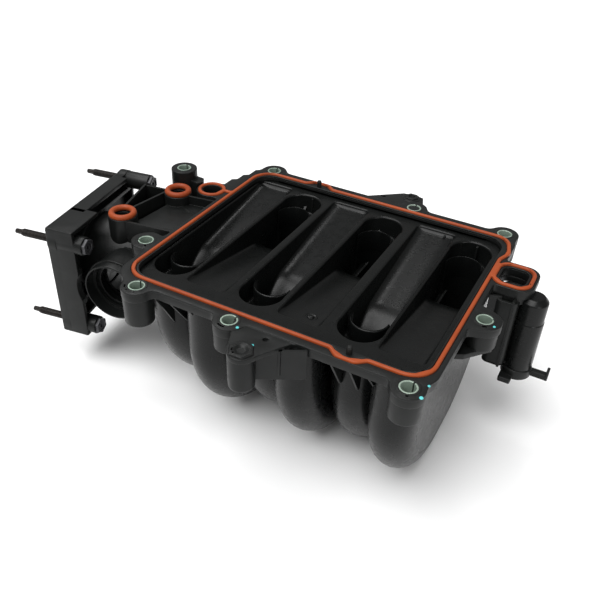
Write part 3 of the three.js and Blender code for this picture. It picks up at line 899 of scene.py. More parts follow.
def helix(radius: float, start: float, end: float, pitch: float, place: Optional[Matrix] = None) -> Points:
    """Points of a screw line.

    Args:
        radius: its radius.
        start: height of its first point.
        end: height of its last point.
        pitch: rise of each turn.
        place: where to put it; it rises along the z axis without one.

    Returns:
        The points, sixteen for each turn.
    """
    count = int((end - start) / pitch * 16) + 1
    a = np.arange(count) * math.tau / 16
    points = np.stack([radius * np.cos(a), radius * np.sin(a), start + pitch * np.arange(count) / 16], 1)
    if place is None:
        return points
    turn = np.array(place)
    return points @ turn[:3, :3].T + turn[:3, 3]


def ring_path(x: float, y: float, radius: float, z: float, steps: int = 48) -> Points:
    """Points of a level circle."""
    a = np.linspace(0, math.tau, steps, endpoint=False)
    return np.stack([x + radius * np.cos(a), y + radius * np.sin(a), np.full(steps, z)], 1)


# --------------------------------------------------------------------- pieces
@dataclass
class Runner:
    """One of the curved runners under the flange, seen from outside as a half-round hump."""

    index: int
    x: float
    radius: float
    near: float
    far: float
    wall: float = 2.8
    bend: float = 85.0
    low: float = -160.5
    cheek_inset: float = 0.05
    room: tuple[float, float] = (-99.0, 113.5)
    room_foot: float = -49.0
    steps: int = 26
    sides: int = 22

    def line(self) -> list[tuple[float, float, float, float]]:
        """The middle line in side view, with the outward direction at each point.

        Returns:
            Rows of y, z and the direction's y and z.
        """
        base = self.low + self.radius
        turns = [math.pi / 2 * k / self.steps for k in range(self.steps + 1)]
        rows = [(self.near + self.radius, z, -1.0, 0.0) for z in (-9.5, -14.0)]
        for a in turns:
            s, c = math.sin(a), math.cos(a)
            rows.append(
                (self.near + self.radius + self.bend * (1 - c), base + self.bend * (1 - s), -c, -s)
            )
        for a in turns:
            s, c = math.sin(a), math.cos(a)
            rows.append((self.far - self.radius - self.bend * (1 - s), base + self.bend * (1 - c), s, -c))
        rows += [(self.far - self.radius, z, 1.0, 0.0) for z in (-14.0, -9.5)]
        return rows

    def sheet(self, radius: float, cheek: float) -> np.ndarray:
        """The half-round surface and its flat cheeks.

        Args:
            radius: radius of the half round.
            cheek: how far the flat sides reach in towards the middle.

        Returns:
            Rows of points along the line.
        """
        rows = []
        for y, z, ny, nz in self.line():
            row = [(self.x + radius, y - ny * cheek, z - nz * cheek)]
            for j in range(self.sides + 1):
                a = math.pi * j / self.sides
                out = radius * math.sin(a)
                row.append((self.x + radius * math.cos(a), y + ny * out, z + nz * out))
            row.append((self.x - radius, y - ny * cheek, z - nz * cheek))
            rows.append(row)
        return self.clear(np.array(rows))

    def clear(self, points: np.ndarray) -> np.ndarray:
        """Keeps points out of the room that the floor's channels need.

        Args:
            points: any array of points.

        Returns:
            The points, those in the room moved to its nearest end.
        """
        y, z = points[..., 1], points[..., 2]
        in_room = (z > self.room_foot) & (y > self.room[0]) & (y < self.room[1])
        ends = np.where(y < 0, self.room[0], self.room[1])
        points[..., 1] = np.where(in_room, ends, y)
        return points

    def cheek(self, side: int, top: float) -> Surface:
        """One flat side of the runner, between its half rounds.

        Args:
            side: 1 for the side towards +X, -1 for the other.
            top: height of its edge between the channels.

        Returns:
            A closed slab.
        """
        line = self.line()
        outline = [(y, z) for y, z, _, _ in line]
        outline += [(self.far - self.radius - 8, -9.5), (self.far - self.radius - 8, top)]
        outline += [(self.near + self.radius + 8, top), (self.near + self.radius + 8, -9.5)]
        reach = self.radius - self.cheek_inset
        faces_at = sorted((self.x + side * reach, self.x + side * (reach - self.wall)))
        count = len(outline)
        points = np.array([(x, y, z) for x in faces_at for y, z in outline])
        if top < self.room_foot + 2:
            points = self.clear(points)
        faces: Faces = [tuple(range(count)), tuple(reversed(range(count, 2 * count)))]
        faces += ring_quads(0, count)
        return points, faces

    def build(self) -> None:
        """Makes the runner's shell."""
        outside, inside = (self.sheet(radius, 0.6) for radius in (self.radius, self.radius - self.wall))
        shell = Shell().add(thick_sheet(outside, inside))
        for side in (1, -1):
            open_side = self.index == 6 and side == 1
            shell.add(self.cheek(side, -9.5 if open_side else -49.5))
        if self.index == 1:
            skirt = [(-140.0, -99.0), (-138.0, -99.0), (-138.0, 113.0), (-140.0, 113.0)]
            shell.add(prism(skirt, -52, -9.5))
            shell.add(prism([(-140.0, -99.0), (-133.0, -99.0), (-133.0, 113.0), (-140.0, 113.0)], -52, -50))
        obj = shell.object(f"runner {self.index}", 50)
        made_piece(obj, GLOSSY_NYLON, replaces=[f"runner_shell_{self.index}"])


@dataclass
class Channel:
    """One runner's channel in the plenum floor: a deep pocket at one end, a ramp to the other."""

    x: float
    flipped: bool
    brim: float
    tail: float
    half: float = 19.7
    ring_at: float = -57.0
    ring_radius: float = 17.6
    ring_brim: float = 76.0
    lip: float = 4.0
    slope: float = 0.172
    side_rise: float = 3.0
    drop: float = 34.0
    drop_reach: float = 52.0
    drop_length: float = 45.0
    crescent: float = -27.0

    def ring_y(self) -> float:
        """The passage ring's middle in the channel's own frame, which follows the brim."""
        return self.ring_at - (self.brim - self.ring_brim)

    def turn(self, points: Points) -> Points:
        """Carries points from the channel's own frame, pocket towards -Y, to the drawing."""
        way = -1.0 if self.flipped else 1.0
        moved = np.array(points, float)
        moved[:, 0] = self.x + way * moved[:, 0]
        moved[:, 1] = way * moved[:, 1]
        return moved

    def local(self, x: np.ndarray, y: np.ndarray) -> tuple[np.ndarray, np.ndarray]:
        """Drawing coordinates in the channel's own frame."""
        way = -1.0 if self.flipped else 1.0
        return way * (x - self.x), way * y

    def outline(self) -> Plan:
        """The channel's mouth."""
        middle = (self.tail - self.brim) / 2
        body = oblong(0, middle, self.half, (self.tail + self.brim) / 2, 4.0)
        shape = disc(0, -self.brim, self.half + 0.3).join(body, 0.0)
        return Plan(lambda x, y: shape.value(*self.local(x, y)))

    def hole(self) -> Plan:
        """The mouth of the passage down into the runner."""
        shape = disc(0, self.ring_y(), self.ring_radius - 1.6)
        return Plan(lambda x, y: shape.value(*self.local(x, y)))

    def depth(self, x: np.ndarray, y: np.ndarray) -> np.ndarray:
        """Height of the channel's bottom: the ramp, or the shallow crescent before the ring."""
        u, v = self.local(x, y)
        at = self.ring_y()
        ramp = FLOOR_TOP - self.lip - self.slope * (self.tail - v)
        side = np.clip(np.abs(u) / self.half, 0, 1)
        ramp = ramp + self.side_rise * side**6
        near = np.clip((at + self.drop_reach - v) / self.drop_length, 0, 1)
        ramp = ramp - self.drop * near**2
        crescent = np.full(np.shape(v), self.crescent)
        blend = np.clip((at + 2 - v) / 3, 0, 1)
        return ramp + (crescent - ramp) * blend


@dataclass
class PlenumFloor:
    """The moulded floor inside the seal, with its six channels."""

    half_x: float = 137.3
    half_y: float = 115.3
    corner: float = 18.0
    thick: float = 1.8
    xs: tuple[float, ...] = (-116.5, -73.0, -25.5, 19.5, 69.5, 112.0)
    front_reach: tuple[float, float] = (76.0, 109.0)
    back_reach: tuple[float, float] = (86.0, 95.0)
    lip_radius: float = 2.0
    passage_levels: tuple[float, float] = (-70.0, -100.0)
    cell: float = 1.5

    def channels(self) -> list[Channel]:
        """The six channels, pockets to the front and to the back by turns."""
        return [
            Channel(x, bool(i % 2), *(self.back_reach if i % 2 else self.front_reach))
            for i, x in enumerate(self.xs)
        ]

    def bottom(self, channel: Channel, ring: np.ndarray, hole: np.ndarray) -> Surface:
        """The channel's curved bottom, with points inside it so that the curve shows.

        Args:
            channel: the channel.
            ring: its wall's foot in plan.
            hole: the passage's mouth in plan.

        Returns:
            The open surface.
        """
        outline, mouth = channel.outline(), channel.hole()
        xs = np.arange(channel.x - 24, channel.x + 24, 3.0)
        ys = np.arange(-118, 118, 3.0)
        gx, gy = (v.ravel() for v in np.meshgrid(xs, ys, indexing="ij"))
        keep = (outline.value(gx, gy) < -3.8) & (mouth.value(gx, gy) > 1.0)
        extra = np.column_stack([gx[keep], gy[keep]])
        xy, triangles = filled([ring, hole], outline.less(mouth), extra)
        return np.column_stack([xy, channel.depth(xy[:, 0], xy[:, 1])]), triangles

    def walls(self, rings: Sequence[Points]) -> Surface:
        """Joins matching closed rings of points.

        Args:
            rings: rings of x, y and z from top to foot.

        Returns:
            The open surface.
        """
        count = len(rings[0])
        faces: Faces = []
        for r in range(len(rings) - 1):
            a = r * count
            faces += ring_quads(a, count)
        return np.concatenate(rings), faces

    def build(self) -> None:
        """Makes the floor as one sheet and gives it its thickness."""
        sheet = Shell()
        lip_rings = []
        for channel in self.channels():
            outline = channel.outline()
            box = (channel.x - 26, channel.x + 26, -118.0, 118.0)
            ring, normal = onto_edge(outline, edge_rings(outline, box, self.cell)[0], 3)
            rows = []
            for angle in np.radians([0, 22, 45, 68, 90]):
                out, drop = (self.lip_radius * (1 - f(angle)) for f in (math.sin, math.cos))
                flat = ring + normal * (out - 0.2)
                rows.append(np.column_stack([flat, np.full(len(ring), FLOOR_TOP - drop)]))
            lip_rings.append(rows[0][:, :2])
            foot_in = ring - normal * 1.4
            foot = channel.depth(*(ring - normal * 3.0).T)
            rows.append(np.column_stack([ring - normal * 0.6, np.minimum(foot + 2.2, FLOOR_TOP - 2.3)]))
            rows.append(np.column_stack([foot_in, np.minimum(foot + 0.6, FLOOR_TOP - 2.8)]))
            rim = ring - normal * 2.8
            rows.append(np.column_stack([rim, channel.depth(*rim.T)]))
            sheet.add(self.walls(rows))
            mouth = channel.hole()
            hole = onto_edge(mouth, edge_rings(mouth, box, self.cell)[0], 3)[0]
            sheet.add(self.bottom(channel, rim, hole))
            edge_z = channel.depth(*hole.T)
            sheet.add(self.walls([
                np.column_stack([hole, edge_z]),
                np.column_stack([hole, edge_z - 4]),
                *(np.column_stack([hole, np.full(len(hole), z)]) for z in self.passage_levels),
            ]))
        border = np.array(rounded([
            (-self.half_x, -self.half_y, self.corner), (self.half_x, -self.half_y, self.corner),
            (self.half_x, self.half_y, self.corner), (-self.half_x, self.half_y, self.corner),
        ], steps=10))
        land = oblong(0, 0, self.half_x, self.half_y, self.corner)
        for channel in self.channels():
            land = land.less(channel.outline().grown(1.7))
        xy, triangles = filled([border] + lip_rings, land)
        sheet.add((np.column_stack([xy, np.full(len(xy), FLOOR_TOP)]), triangles))
        obj = self.thickened(sheet)
        made_piece(obj, GLOSSY_NYLON, replaces=["plenum_floor"])
        self.build_rings()

    def thickened(self, sheet: Shell) -> bpy.types.Object:
        """Turns the sheet face up and adds its wall below."""
        raw = sheet.object("plenum sheet", 40)
        top = max(raw.data.polygons, key=lambda p: p.center.z * 1e6 + p.area)
        if top.normal.z < 0:
            raw.data.flip_normals()
        wall = raw.modifiers.new("wall", "SOLIDIFY")
        wall.thickness = self.thick * MM
        wall.offset = -1
        obj = baked(raw, "plenum floor")
        obj.data.set_sharp_from_angle(angle=math.radians(50))
        return obj

    def build_rings(self) -> None:
        """Makes the thin half-round wall that stands before each passage."""
        shell = Shell()
        for channel in self.channels():
            at = channel.ring_y()
            r = channel.ring_radius
            profile = rounded([
                (r - 1.7, -34, 0.2), (r, -34, 0.2), (r, -10.5, 1.5), (r - 1.7, -10.5, 0.6),
            ])
            points, faces = turned(profile, (0.0, at), 40, (176.0, 364.0))
            shell.add((channel.turn(points), faces))
        obj = shell.object("passage rings", 40)
        made_piece(obj, GLOSSY_NYLON)
        dish = rod([
            (0, -26, 0), (7, -24, 1), (6.4, -12.4, 1.2), (5.0, -12.4, 0.6), (3.6, -13.2, 0.6),
            (2.6, -11.4, 1.0), (0, -10.8, 0),
        ])
        knob = Shell().add(turned(dish, (24, -79), 32))
        made_piece(knob.object("floor knob", 40), GLOSSY_NYLON)


@dataclass
class Boss:
    """A bolt boss on the flange, with its split compression limiter."""

    name: str
    x: float
    y: float
    top: float
    foot: float
    slit: float
    radius: float = 13.9
    bore: float = 7.6


BOSSES = (
    Boss("front_left", -117.5, -131.6, 0, -36, 95),
    Boss("front_mid", -23.6, -131.3, 0, -26, 60),
    Boss("front_right", 131.5, -131.3, 0, -28, 70),
    Boss("side_right", 156.4, -21.4, 0, -25, 25),
    Boss("back_right", 132.7, 128.2, 0, -28, 5),
    Boss("back_mid", 36, 130.2, 0, -26, 90),
    Boss("back_left", -130.9, 127.6, 0, -36, 90),
    Boss("side_left", -157.9, -67.5, 0, -25, 210),
    Boss("tall", -204.6, 59, 12, -34, 95),
)


@dataclass
class Limiters:
    """The split zinc-plated tubes that take the bolts' load."""

    outer: float = 7.5
    inner: float = 5.9
    gap: float = 13.0

    def build(self) -> None:
        """Makes each tube, open at its slit."""
        for boss in BOSSES:
            profile = tube(self.inner, self.outer, boss.foot + 0.4, boss.top + 0.2, 0.45)
            sweep = (boss.slit + self.gap / 2, boss.slit + 360 - self.gap / 2)
            obj = Shell().add(turned(profile, (boss.x, boss.y), 48, sweep)).object(f"limiter {boss.name}")
            made_piece(obj, ZINC, replaces=[f"limiter_{boss.name}"])


@dataclass
class Flange:
    """The gasket flange with its bosses, brackets, gussets and seal track."""

    half_x: float = 148.0
    half_y: float = 130.0
    corner: float = 22.0
    well_x: float = 137.6
    well_y: float = 115.6
    groove_half: float = 2.15
    groove_depth: float = 1.9
    box: tuple[float, float, float, float] = (-186.0, 190.0, -176.0, 172.0)

    def face(self) -> Plan:
        """The flange's outline, without its openings."""
        plan = oblong(0, 0, self.half_x, self.half_y, self.corner)
        plan = plan.join(oblong(161, 57, 21, 22.5, 13), 5).join(disc(-164.4, 52.3, 16.5), 8)
        plan = plan.join(polygon([(140, -46), (157, -35), (168, -24), (168, -16), (157, -8), (140, 4)]), 2)
        plan = plan.join(polygon([(-160, -80), (-140, -80), (-140, -55), (-160, -55)]), 2)
        plan = plan.join(polygon([
            (-143, 36), (-143, 122), (-150, 118), (-150, 104), (-155, 100), (-155, 88), (-160, 84),
            (-160, 70), (-166, 66), (-166, 40),
        ]), 1)
        for boss in BOSSES[:-1]:
            plan = plan.join(disc(boss.x, boss.y, boss.radius), 7)
        return plan

    def openings(self) -> Plan:
        """The well, the bolt holes and the two ports."""
        plan = oblong(0, 0, self.well_x, self.well_y, 19)
        plan = plan.join(disc(-164.4, 52.3, 9.4)).join(oblong(161, 57, 12, 13.5, 8))
        plan = plan.join(disc(14, -137, 2.4)).join(disc(-2, 140, 2.2))
        for boss in BOSSES:
            plan = plan.join(disc(boss.x, boss.y, boss.bore))
        return plan

    def build(self) -> None:
        """Makes the flange as overlapping plates in one piece."""
        shell = Shell()
        face = self.face().less(self.openings())
        groove = SEAL_TRACK.grown(self.groove_half)
        shell.add(plate(face.less(groove), self.box, -self.groove_depth, 0, 0.7, 0.02))
        shell.add(plate(face, self.box, FLANGE_UNDER, -self.groove_depth, 0.02, 0.6))
        well = oblong(0, 0, self.well_x + 2.4, self.well_y + 2.4, 21)
        well = well.less(oblong(0, 0, self.well_x, self.well_y, 19))
        shell.add(plate(well, self.box, -16, -4, 0.3, 0.6))
        for boss in BOSSES[:-1]:
            profile = rounded([
                (boss.bore, boss.foot, 0.5), (boss.radius - 0.7, boss.foot, 1.2),
                (boss.radius - 0.2, -0.3, 0.1), (boss.bore, -0.3, 0.1),
            ])
            shell.add(turned(profile, (boss.x, boss.y), 48))
            rim = tube(boss.bore - 0.1, boss.bore + 1.9, boss.foot, 0.25, 0.25)
            shell.add(turned(rim, (boss.x, boss.y), 44))
        shell.add(turned(tube(9.4, 16.5, -34, -1, 1.0), (-164.4, 52.3), 48))
        self.add_front_bracket(shell)
        self.add_back_bracket(shell)
        self.add_gussets(shell)
        made_piece(shell.object("gasket flange", 32), NYLON, replaces=["gasket_flange"])

    def add_front_bracket(self, shell: Shell) -> None:
        """Adds the hexagon-topped post in front, its shelf and its webs."""
        x, y = 4.9, -158.5
        shelf = polygon([(-22, -126), (-7, -160), (17, -160), (34, -131.5), (50, -126)])
        shelf = shelf.join(disc(x, y, 11.6), 4).less(disc(14, -137, 2.4))
        shell.add(plate(shelf, self.box, -5, -0.8, 0.6, 0.4))
        post = rod([(0, -35.5, 0), (10.6, -35.5, 1.5), (11, -33, 0.5), (11.6, -1.4, 0.8), (0, -1.4, 0)])
        shell.add(turned(post, (x, y), 40))
        head = hexagon(x, y, 11.0).less(disc(x, y, 6.2))
        shell.add(plate(head, self.box, -2, 1.2, 0.9, 0.1, 0.8))
        dish = [(0, -1.8, 0), (6.6, -1.8, 0), (6.6, 0.9, 0.2), (6.0, 0.9, 0.3), (3.4, -0.7, 1), (0, -0.9, 0)]
        shell.add(turned(rod(dish), (x, y), 36))
        for a, b, foot in (((10, -153), (48, -131), -31), ((-4, -152), (-22, -134), -22)):
            shell.add(self.web(a, b, 2.4, foot, -2))
        shell.add(self.web((30, -144), (30, -126), 2.2, -26, -2))

    def add_back_bracket(self, shell: Shell) -> None:
        """Adds the smaller post behind and its shelf."""
        x, y = 25.4, 151
        shelf = polygon([(-25, 125), (14, 158), (36, 158), (48, 125)]).join(disc(x, y, 9.4), 4)
        shell.add(plate(shelf.less(disc(-2, 140, 2.2)), self.box, -7, -1, 0.6, 0.4))
        post = rod([(0, -20, 0), (9, -20, 1.2), (9.4, -0.2, 0.8), (0, -0.2, 0)])
        shell.add(turned(post, (x, y), 36))
        head = hexagon(x, y, 7.4).less(disc(x, y, 3.4))
        shell.add(plate(head, self.box, -1, 1.4, 0.7, 0.1, 0.8))

    def web(
        self, a: tuple[float, float], b: tuple[float, float], thick: float, foot: float, top: float
    ) -> Surface:
        """An upright wall between two plan points.

        Args:
            a: one end.
            b: the other end.
            thick: its thickness.
            foot: height of its foot.
            top: height of its top.

        Returns:
            The closed surface.
        """
        way = (Vector(b) - Vector(a)).normalized()
        side = Vector((-way.y, way.x)) * thick / 2
        corners = [Vector(a) - side, Vector(b) - side, Vector(b) + side, Vector(a) + side]
        return prism([tuple(c) for c in corners], foot, top)

    def add_gussets(self, shell: Shell) -> None:
        """Adds the thin ribs from the flange's edge down to the runners, front and back."""
        rows = [(-84, -104, 46), (-65, -108, 44), (68, -108.6, 44), (84, -108.6, 44), (100, -106, 40),
                (114, -106, 40), (-16, -108.6, 40), (-100, -106, 50)]
        for x, back, drop in rows:
            for way in (1, -1):
                at = x if way == 1 else 14 - x
                side = [(-128.6, -8.6), (-128.6, -10.5), (back, -drop), (back + 4, -drop), (back + 4, -8.6)]
                count = len(side)
                points = [(at + s * 0.95, way * y, z) for s in (-1, 1) for y, z in side]
                faces: Faces = [tuple(range(count)), tuple(reversed(range(count, 2 * count)))]
                faces += [(i, (i + 1) % count, count + (i + 1) % count, count + i) for i in range(count)]
                shell.add((np.array(points), faces))
        foot = polygon([(138.4, -50), (150, -44), (168, -22), (160, -12), (138.4, -2)])
        shell.add(plate(foot.less(disc(156.4, -21.4, 7.6)), self.box, -30, -24.5, 0.6, 0.6))


SEAL_LOOP = rounded([
    (-141.5, -119.8, 21), (62, -119.8, 5), (70, -126.6, 6), (86, -126.6, 6), (94, -119.8, 5),
    (141.5, -119.8, 21), (141.5, 78, 12), (146.5, 92, 10), (139.5, 119.8, 16), (-54, 119.8, 5),
    (-62, 126.6, 6), (-78, 126.6, 6), (-86, 119.8, 5), (-141.5, 119.8, 21),
], steps=8)
SEAL_TRACK = (
    polygon(SEAL_LOOP).band(0)
    .join(oblong(161, 57, 16.5, 18, 11).band(0))
    .join(disc(-164.4, 52.3, 12.9).band(0))
    .join(oblong(-147, 56.3, 5.6, 0.05, 0.05))
)


@dataclass
class Seals:
    """The perimeter bead with its two side loops, and the pipes' O-rings."""

    half: float = 1.8
    proud: float = 1.5
    sunk: float = 1.9

    def build(self, sweeps: SweepTree) -> None:
        """Makes the bead and the O-rings."""
        bead = SEAL_TRACK.grown(self.half)
        shell = Shell().add(plate(bead, (-182, 182, -132, 132), -self.sunk, self.proud, 1.55, 0.3, 1.0, 0.0))
        made_piece(shell.object("perimeter seal", 60), SILICONE, replaces=["perimeter_seal"])
        for name, x, y in (("near", -211.1, -37.4), ("far", -193.2, 31)):
            obj = sweeps.run(f"coolant seal {name}", [ring_path(x, y, 11, -0.7, 72)], 3.0, SILICONE, True, 18)
            made_piece(obj, SILICONE, replaces=[f"coolant_seal_{name}"])


@dataclass
class Dowels:
    """The two moulded locating pegs."""

    places: tuple[tuple[str, float, float], ...] = (("front", 78, -119.4), ("back", -70, 119.4))

    def build(self) -> None:
        """Makes both pegs."""
        for name, x, y in self.places:
            profile = rod([(0, -5.9, 0), (2.5, -5.9, 0.3), (2.5, 5.6, 1.0), (1.7, 7.3, 0.8), (0, 7.3, 0)])
            shell = Shell().add(turned(profile, (x, y), 24))
            made_piece(shell.object(f"dowel {name}"), MATT_NYLON, replaces=[f"dowel_{name}"])


@dataclass
class ThrottleFlange:
    """The upright flange that carries the throttle body, with its studs and sockets."""

    corner: tuple[float, float, float] = (-252.8, -101.3, 0.0)
    yaw: float = 9.13
    width: float = 146.0
    height: float = 123.0
    depth: float = 29.5
    slab: float = 10.0
    bore: float = 38.0
    bore_at: tuple[float, float] = (71.0, -62.0)
    studs: tuple[tuple[str, float, float], ...] = (
        ("front", 8.8, -17.0), ("back", 138.0, -8.6), ("low", 10.2, -113.5),
    )

    def place(self) -> Matrix:
        """Carries the flange's own frame to the drawing."""
        return Matrix.Translation(self.corner) @ Matrix.Rotation(math.radians(self.yaw), 4, "Z")

    def standing(self) -> Matrix:
        """Stands a plan plate up, so that its x, y and z become y, z and x."""
        return self.place() @ Matrix(((0, 0, 1, 0), (1, 0, 0, 0), (0, 1, 0, 0), (0, 0, 0, 1)))

    def along(self, y: float, z: float) -> Matrix:
        """Lays a turning along the flange's own x, through a point of its face."""
        return self.place() @ Matrix.Translation((0, y, z)) @ Matrix.Rotation(math.pi / 2, 4, "Y")

    def build(self, sweeps: SweepTree) -> None:
        """Makes the flange, then what is fixed in it."""
        box = (-14.0, 162.0, -140.0, 14.0)
        outline = polygon(rounded([
            (0, 0, 2.5), (0, -self.height, 2.5), (30, -self.height, 12), (104, -119, 40),
            (self.width - 4, -62, 30), (self.width, -20, 8), (self.width, 0, 8),
        ]))
        for _, y, z in self.studs:
            outline = outline.join(disc(y, z, 9.6), 3)
        holes = disc(*self.bore_at, self.bore)
        for _, y, z in self.studs:
            holes = holes.join(disc(y, z, 3.9))
        shell = Shell()
        shell.add(plate(outline.less(holes), box, 0, 2.4, 0.2, 0.8), self.standing())
        rib = outline.less(outline.grown(-4)).join(disc(*self.bore_at, 44).less(disc(*self.bore_at, 38)))
        lattice = rib
        for a, b in (((8, -20), (138, -20)), ((20, -100), (52, -98)), ((8, -60), (30, -60))):
            lattice = lattice.join(self.strip(a, b, 2.0))
        for _, y, z in self.studs:
            lattice = lattice.join(disc(y, z, 9.6))
        shell.add(plate(lattice.less(holes).within(outline), box, 2.0, self.slab, 0.5, 0.2), self.standing())
        self.add_side_wall(shell, box)
        for _, y, z in self.studs:
            shell.add(turned(tube(4.1, 9.4, 9, 37.5, 0.9), steps=36), self.along(y, z))
        shell.add(turned(tube(38, 42, 9, 17, 0.4), steps=72), self.along(*self.bore_at))
        made_piece(shell.object("throttle flange", 32), NYLON, replaces=["throttle_flange"])
        self.build_studs(sweeps)

    def strip(self, a: tuple[float, float], b: tuple[float, float], half: float) -> Plan:
        """A straight rib in plan, half wide to each side."""
        start, way = Vector(a), Vector(b) - Vector(a)

        def value(x: np.ndarray, y: np.ndarray) -> np.ndarray:
            """Distance to the rib."""
            t = np.clip(((x - start.x) * way.x + (y - start.y) * way.y) / way.length_squared, 0, 1)
            return np.hypot(x - start.x - way.x * t, y - start.y - way.y * t) - half

        return Plan(value)

    def add_side_wall(self, shell: Shell, box: tuple[float, float, float, float]) -> None:
        """Adds the near wall, with its round cut, and the ledges on top."""
        side = self.place() @ Matrix(((1, 0, 0, 0), (0, 0, -1, 0), (0, 1, 0, 0), (0, 0, 0, 1)))
        wall = oblong(self.depth / 2, -self.height / 2, self.depth / 2, self.height / 2, 1.5)
        shell.add(plate(wall.less(disc(60, -63, 34)), box, -4, 0.25, 0.5, 0.5), side)
        rim = disc(60, -63, 37).less(disc(60, -63, 34)).within(wall)
        shell.add(plate(rim, box, -8, -3.5, 0.4, 0.4), side)
        for x, y0, y1 in ((self.depth, 0.0, 46.0), (17.0, 40.0, self.width - 22)):
            ledge = oblong(x / 2, (y0 + y1) / 2, x / 2, (y1 - y0) / 2, 1.2)
            shell.add(plate(ledge, (-2, 60, -2, 150), -4, 0.25, 0.6, 0.5), self.place())
        foot = oblong(self.depth / 2, 13, self.depth / 2, 13, 1.2)
        shell.add(plate(foot, (-2, 40, -2, 40), -self.height, -self.height + 4, 0.5, 0.6), self.place())

    def build_studs(self, sweeps: SweepTree) -> None:
        """Makes the dog-nosed studs with their threads, and the sockets behind."""
        for name, y, z in self.studs:
            bar = rod([
                (0, -42, 0), (2.5, -42, 0.6), (2.7, -36, 0.3), (3.45, -34, 0.3), (3.45, 21, 0.3), (0, 21, 0),
            ])
            shell = Shell().add(turned(bar, steps=24), self.along(y, z))
            made_piece(
                shell.object(f"throttle stud {name}"), BLACK_STEEL, replaces=[f"throttle_stud_{name}"]
            )
            path = helix(3.45, -33.5, -2.0, 1.25, self.along(y, z))
            thread = sweeps.run(f"stud thread {name}", [path], 0.52, BLACK_STEEL, False, 5)
            made_piece(thread, BLACK_STEEL)
            nut, head = Shell(), hexagon(0, 0, 8.6).less(disc(0, 0, 4.6))
            nut.add(plate(head, (-12, 12, -12, 12), 37.3, 41, 0.9, 0.4, 0.7), self.along(y, z))
            nut.add(turned(tube(2.0, 4.9, 28, 40.2, 0.4), steps=32), self.along(y, z))
            made_piece(nut.object(f"stud socket {name}"), GREY_STEEL, replaces=[f"stud_socket_{name}"])


@dataclass
class IntakeDuct:
    """The duct from the throttle flange to the end runner, with its round side port."""

    outer: float = 44.0
    inner: float = 40.5
    port: tuple[float, float, float] = (-190.0, -88.6, -61.0)
    port_outer: float = 30.7
    port_inner: float = 26.8

    def build(self, throttle: ThrottleFlange) -> None:
        """Makes the duct with cuts between fine round solids."""
        axis = throttle.along(*throttle.bore_at)
        port = (
            Matrix.Translation(self.port) @ Matrix.Rotation(math.radians(throttle.yaw), 4, "Z")
            @ Matrix.Rotation(-math.pi / 2, 4, "X")
        )
        end = Matrix.Translation((0, -13, -62)) @ Matrix.Rotation(math.pi / 2, 4, "Y")

        def solid(
            name: str, radius: float, low: float, high: float, place: Matrix, edge: float = 0.0
        ) -> bpy.types.Object:
            """One round solid for the cuts."""
            profile = rod([(0, low, 0), (radius, low, edge), (radius, high, edge), (0, high, 0)])
            return Shell().add(turned(profile, steps=96), place).object(name)

        body = solid("intake duct body", self.outer, 17.4, 88, axis)
        adds = [
            solid("end bar", self.outer - 2, -178, -139.5, end),
            solid("port bar", self.port_outer, 0, 46, port, 1.2),
            solid("port ledge", self.port_outer + 1.6, 8, 11, port, 0.5),
        ]
        cuts = [
            solid("bore", self.inner, 5, 92, axis),
            solid("end bore", self.inner - 2, -180, -110, end),
            solid("port bore", self.port_inner, -4, 46, port),
            solid("port step", self.port_inner + 2, -4, 13, port),
        ]
        for tool, way in [(t, "UNION") for t in adds] + [(t, "DIFFERENCE") for t in cuts]:
            cut = body.modifiers.new(tool.name, "BOOLEAN")
            cut.operation, cut.object, cut.solver = way, tool, "MANIFOLD"
        obj = baked(body, "intake duct")
        for tool in adds + cuts:
            bpy.data.objects.remove(tool)
        self.trim_top(obj)
        obj.data.shade_smooth()
        obj.data.set_sharp_from_angle(angle=math.radians(32))
        made_piece(obj, NYLON, replaces=["intake_duct"])
        rings = Shell()
        for low in (16, 27):
            rings.add(turned(tube(22.4, self.port_inner + 0.2, low, low + 1.6, 0.4), steps=72), port)
        made_piece(rings.object("port steps"), GLOSSY_NYLON)

    def trim_top(self, obj: bpy.types.Object) -> None:
        """Cuts the duct level under the flange and closes the cut."""
        work = bmesh.new()
        work.from_mesh(obj.data)
        level = DATUM.metres([(0, 0, -9.6)])[0]
        geometry = work.verts[:] + work.edges[:] + work.faces[:]
        cut = bmesh.ops.bisect_plane(
            work, geom=geometry, plane_co=level, plane_no=(0, 0, 1), clear_outer=True
        )
        edges = [e for e in cut["geom_cut"] if isinstance(e, bmesh.types.BMEdge)]
        bmesh.ops.holes_fill(work, edges=edges, sides=0)
        bmesh.ops.recalc_face_normals(work, faces=work.faces)
        work.to_mesh(obj.data)
        work.free()


